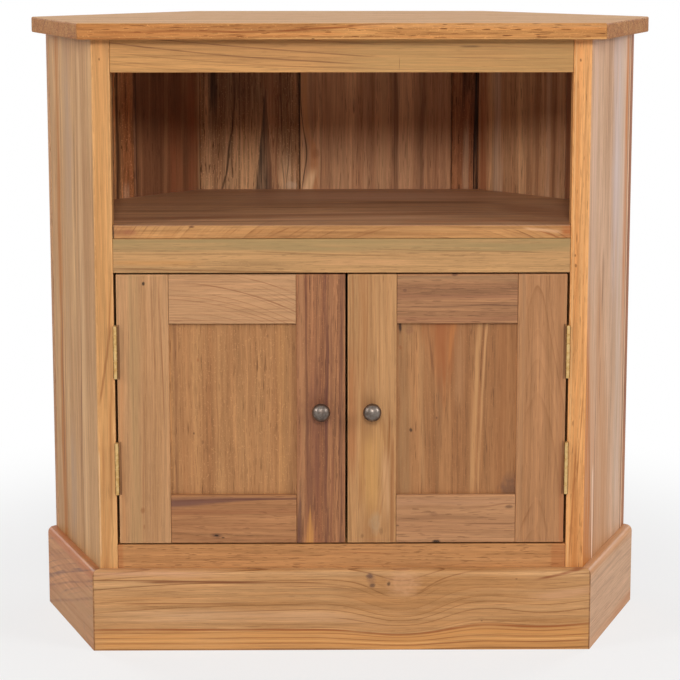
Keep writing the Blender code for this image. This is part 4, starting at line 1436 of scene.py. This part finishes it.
# Magnetic catches under their block, and the strike plates behind the doors
catch = {
    "ear": 0.0075,
    "earThick": 0.0024,
    "soft": 0.0008,
    "pole": 0.0012,
    "poleGap": 0.0045,
    "poleInset": 0.003,
    "screw": 0.0026,
    "strikeCorner": 0.0022,
    "strikeScrew": 0.0024,
    "strikeScrewGap": 0.009,
}
for side in ("left", "right"):
    low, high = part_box(side + "_catch")
    middle = (low + high) / 2
    ear, pole = catch["ear"], catch["pole"]
    under = high.z - catch["earThick"]
    shape = bmesh.new()
    bodyLow, bodyHigh = (low.x + ear, low.y + 0.001, low.z), (high.x - ear, high.y, high.z - 0.0001)
    block(shape, bodyLow, bodyHigh, catch["soft"], 3)
    block(shape, (low.x, low.y + 0.003, under), (high.x, high.y - 0.0016, high.z - 0.00005), 0.0009, 3)
    piece(side + "_catch_body", shape, [catchPlastic], "root", "catch_plastic", side + "_catch")
    shape = bmesh.new()
    inset = ear + catch["poleInset"]
    for number in (-1, 1):
        height = middle.z - 0.0006 + number * catch["poleGap"] / 2
        poleLow = (low.x + inset, low.y, height - pole / 2)
        poleHigh = (high.x - inset, low.y + 0.004, height + pole / 2)
        block(shape, poleLow, poleHigh, 0.0003, 2)
        aside = number * (high.x - middle.x - ear / 2)
        spot = (middle.x + aside, middle.y + 0.0007, under)
        screwHead(shape, catch["screw"], facing(spot, (0, 0, -1)), proud=0.0002, dome=0.0009)
    piece(side + "_catch_poles", shape, [steel, recessDark], "root", "steel")
    low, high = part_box(side + "_strike_plate")
    middle = (low + high) / 2
    shape = bmesh.new()
    plate(shape, low, high, 1, catch["strikeCorner"], 5, 0.0002)
    for number in (-1, 1):
        spot = (middle.x + number * catch["strikeScrewGap"], high.y, middle.z)
        screwHead(shape, catch["strikeScrew"], facing(spot, (0, 1, 0)), proud=0.0002)
    piece(side + "_strike", shape, [steel, recessDark], side + "_door", "steel", side + "_strike_plate")
print("catches made")

# Nails through the back boards at the height of the top cleats, the shelf and the bottom board.
# Each back wall has its layout, its outward direction, and the start and end of its boards
nails = {
    "profile": [(0, -0.2), (1.805, -0.2), (1.9, 0.1), (1.71, 0.4), (1.045, 0.6), (0, 0.65)],
    "levels": (0.7150, 0.5060, 0.1200),
    "inset": 0.014,
    "narrow": 0.05,
}
centreWallLay = lay((1, 0, 0), (0, 0, 1), (0, 0.19193, 0))
backWalls = [
    (centreWallLay, (0, 1, 0), [(-0.1892, -0.0522), (-0.0519, 0.1499), (0.1502, 0.1892)]),
    (leftWallLay, (-1, 1, 0), [(0.003, 0.1158), (0.1162, 0.1498), (0.1503, 0.244)]),
    (rightWallLay, (1, 1, 0), [(0.003, 0.1498), (0.1503, 0.244)]),
]
shape = bmesh.new()
for layout, outward, boards in backWalls:
    for start, end in boards:
        spots = (start + nails["inset"], end - nails["inset"])
        if end - start < nails["narrow"]:
            spots = ((start + end) / 2,)
        for across in spots:
            for level in nails["levels"]:
                spot = layout @ Vector((across, 0, level))
                turned(shape, nails["profile"], facing(spot, outward), steps=12)
piece("back_nails", shape, [steel], "root", "steel")

# Dark glue in the joints between the upright back boards: middle of each joint in plan, and its turn
glue = fittingMaterial("oldGlue", "462c1c", "301e14", 0.75, metallic=0.0, size=0.6)
glueLine = {"width": 0.00028, "depth": 0.0088, "inset": 0.0003}
glueJoints = [
    (-0.05201, 0.18608, 0),
    (0.15002, 0.18608, 0),
    (-0.18727, 0.18549, -22.5),
    (0.18727, 0.18549, 22.5),
    (-0.26904, 0.10456, -45),
    (-0.29310, 0.08049, -45),
    (0.29310, 0.08049, 45),
]
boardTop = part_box("centre_back_board_left")[1].z
shape = bmesh.new()
for x, y, angle in glueJoints:
    place = Matrix.Translation((x, y, 0)) @ Matrix.Rotation(-math.radians(angle), 4, "Z")
    high = Vector((glueLine["width"] / 2, glueLine["depth"] / 2, boardTop - glueLine["inset"]))
    block(shape, (-high.x, -high.y, glueLine["inset"]), high, matrix=place)
piece("back_joint_glue", shape, [glue], "root", "teak_dark")
print("nails and glue in place")
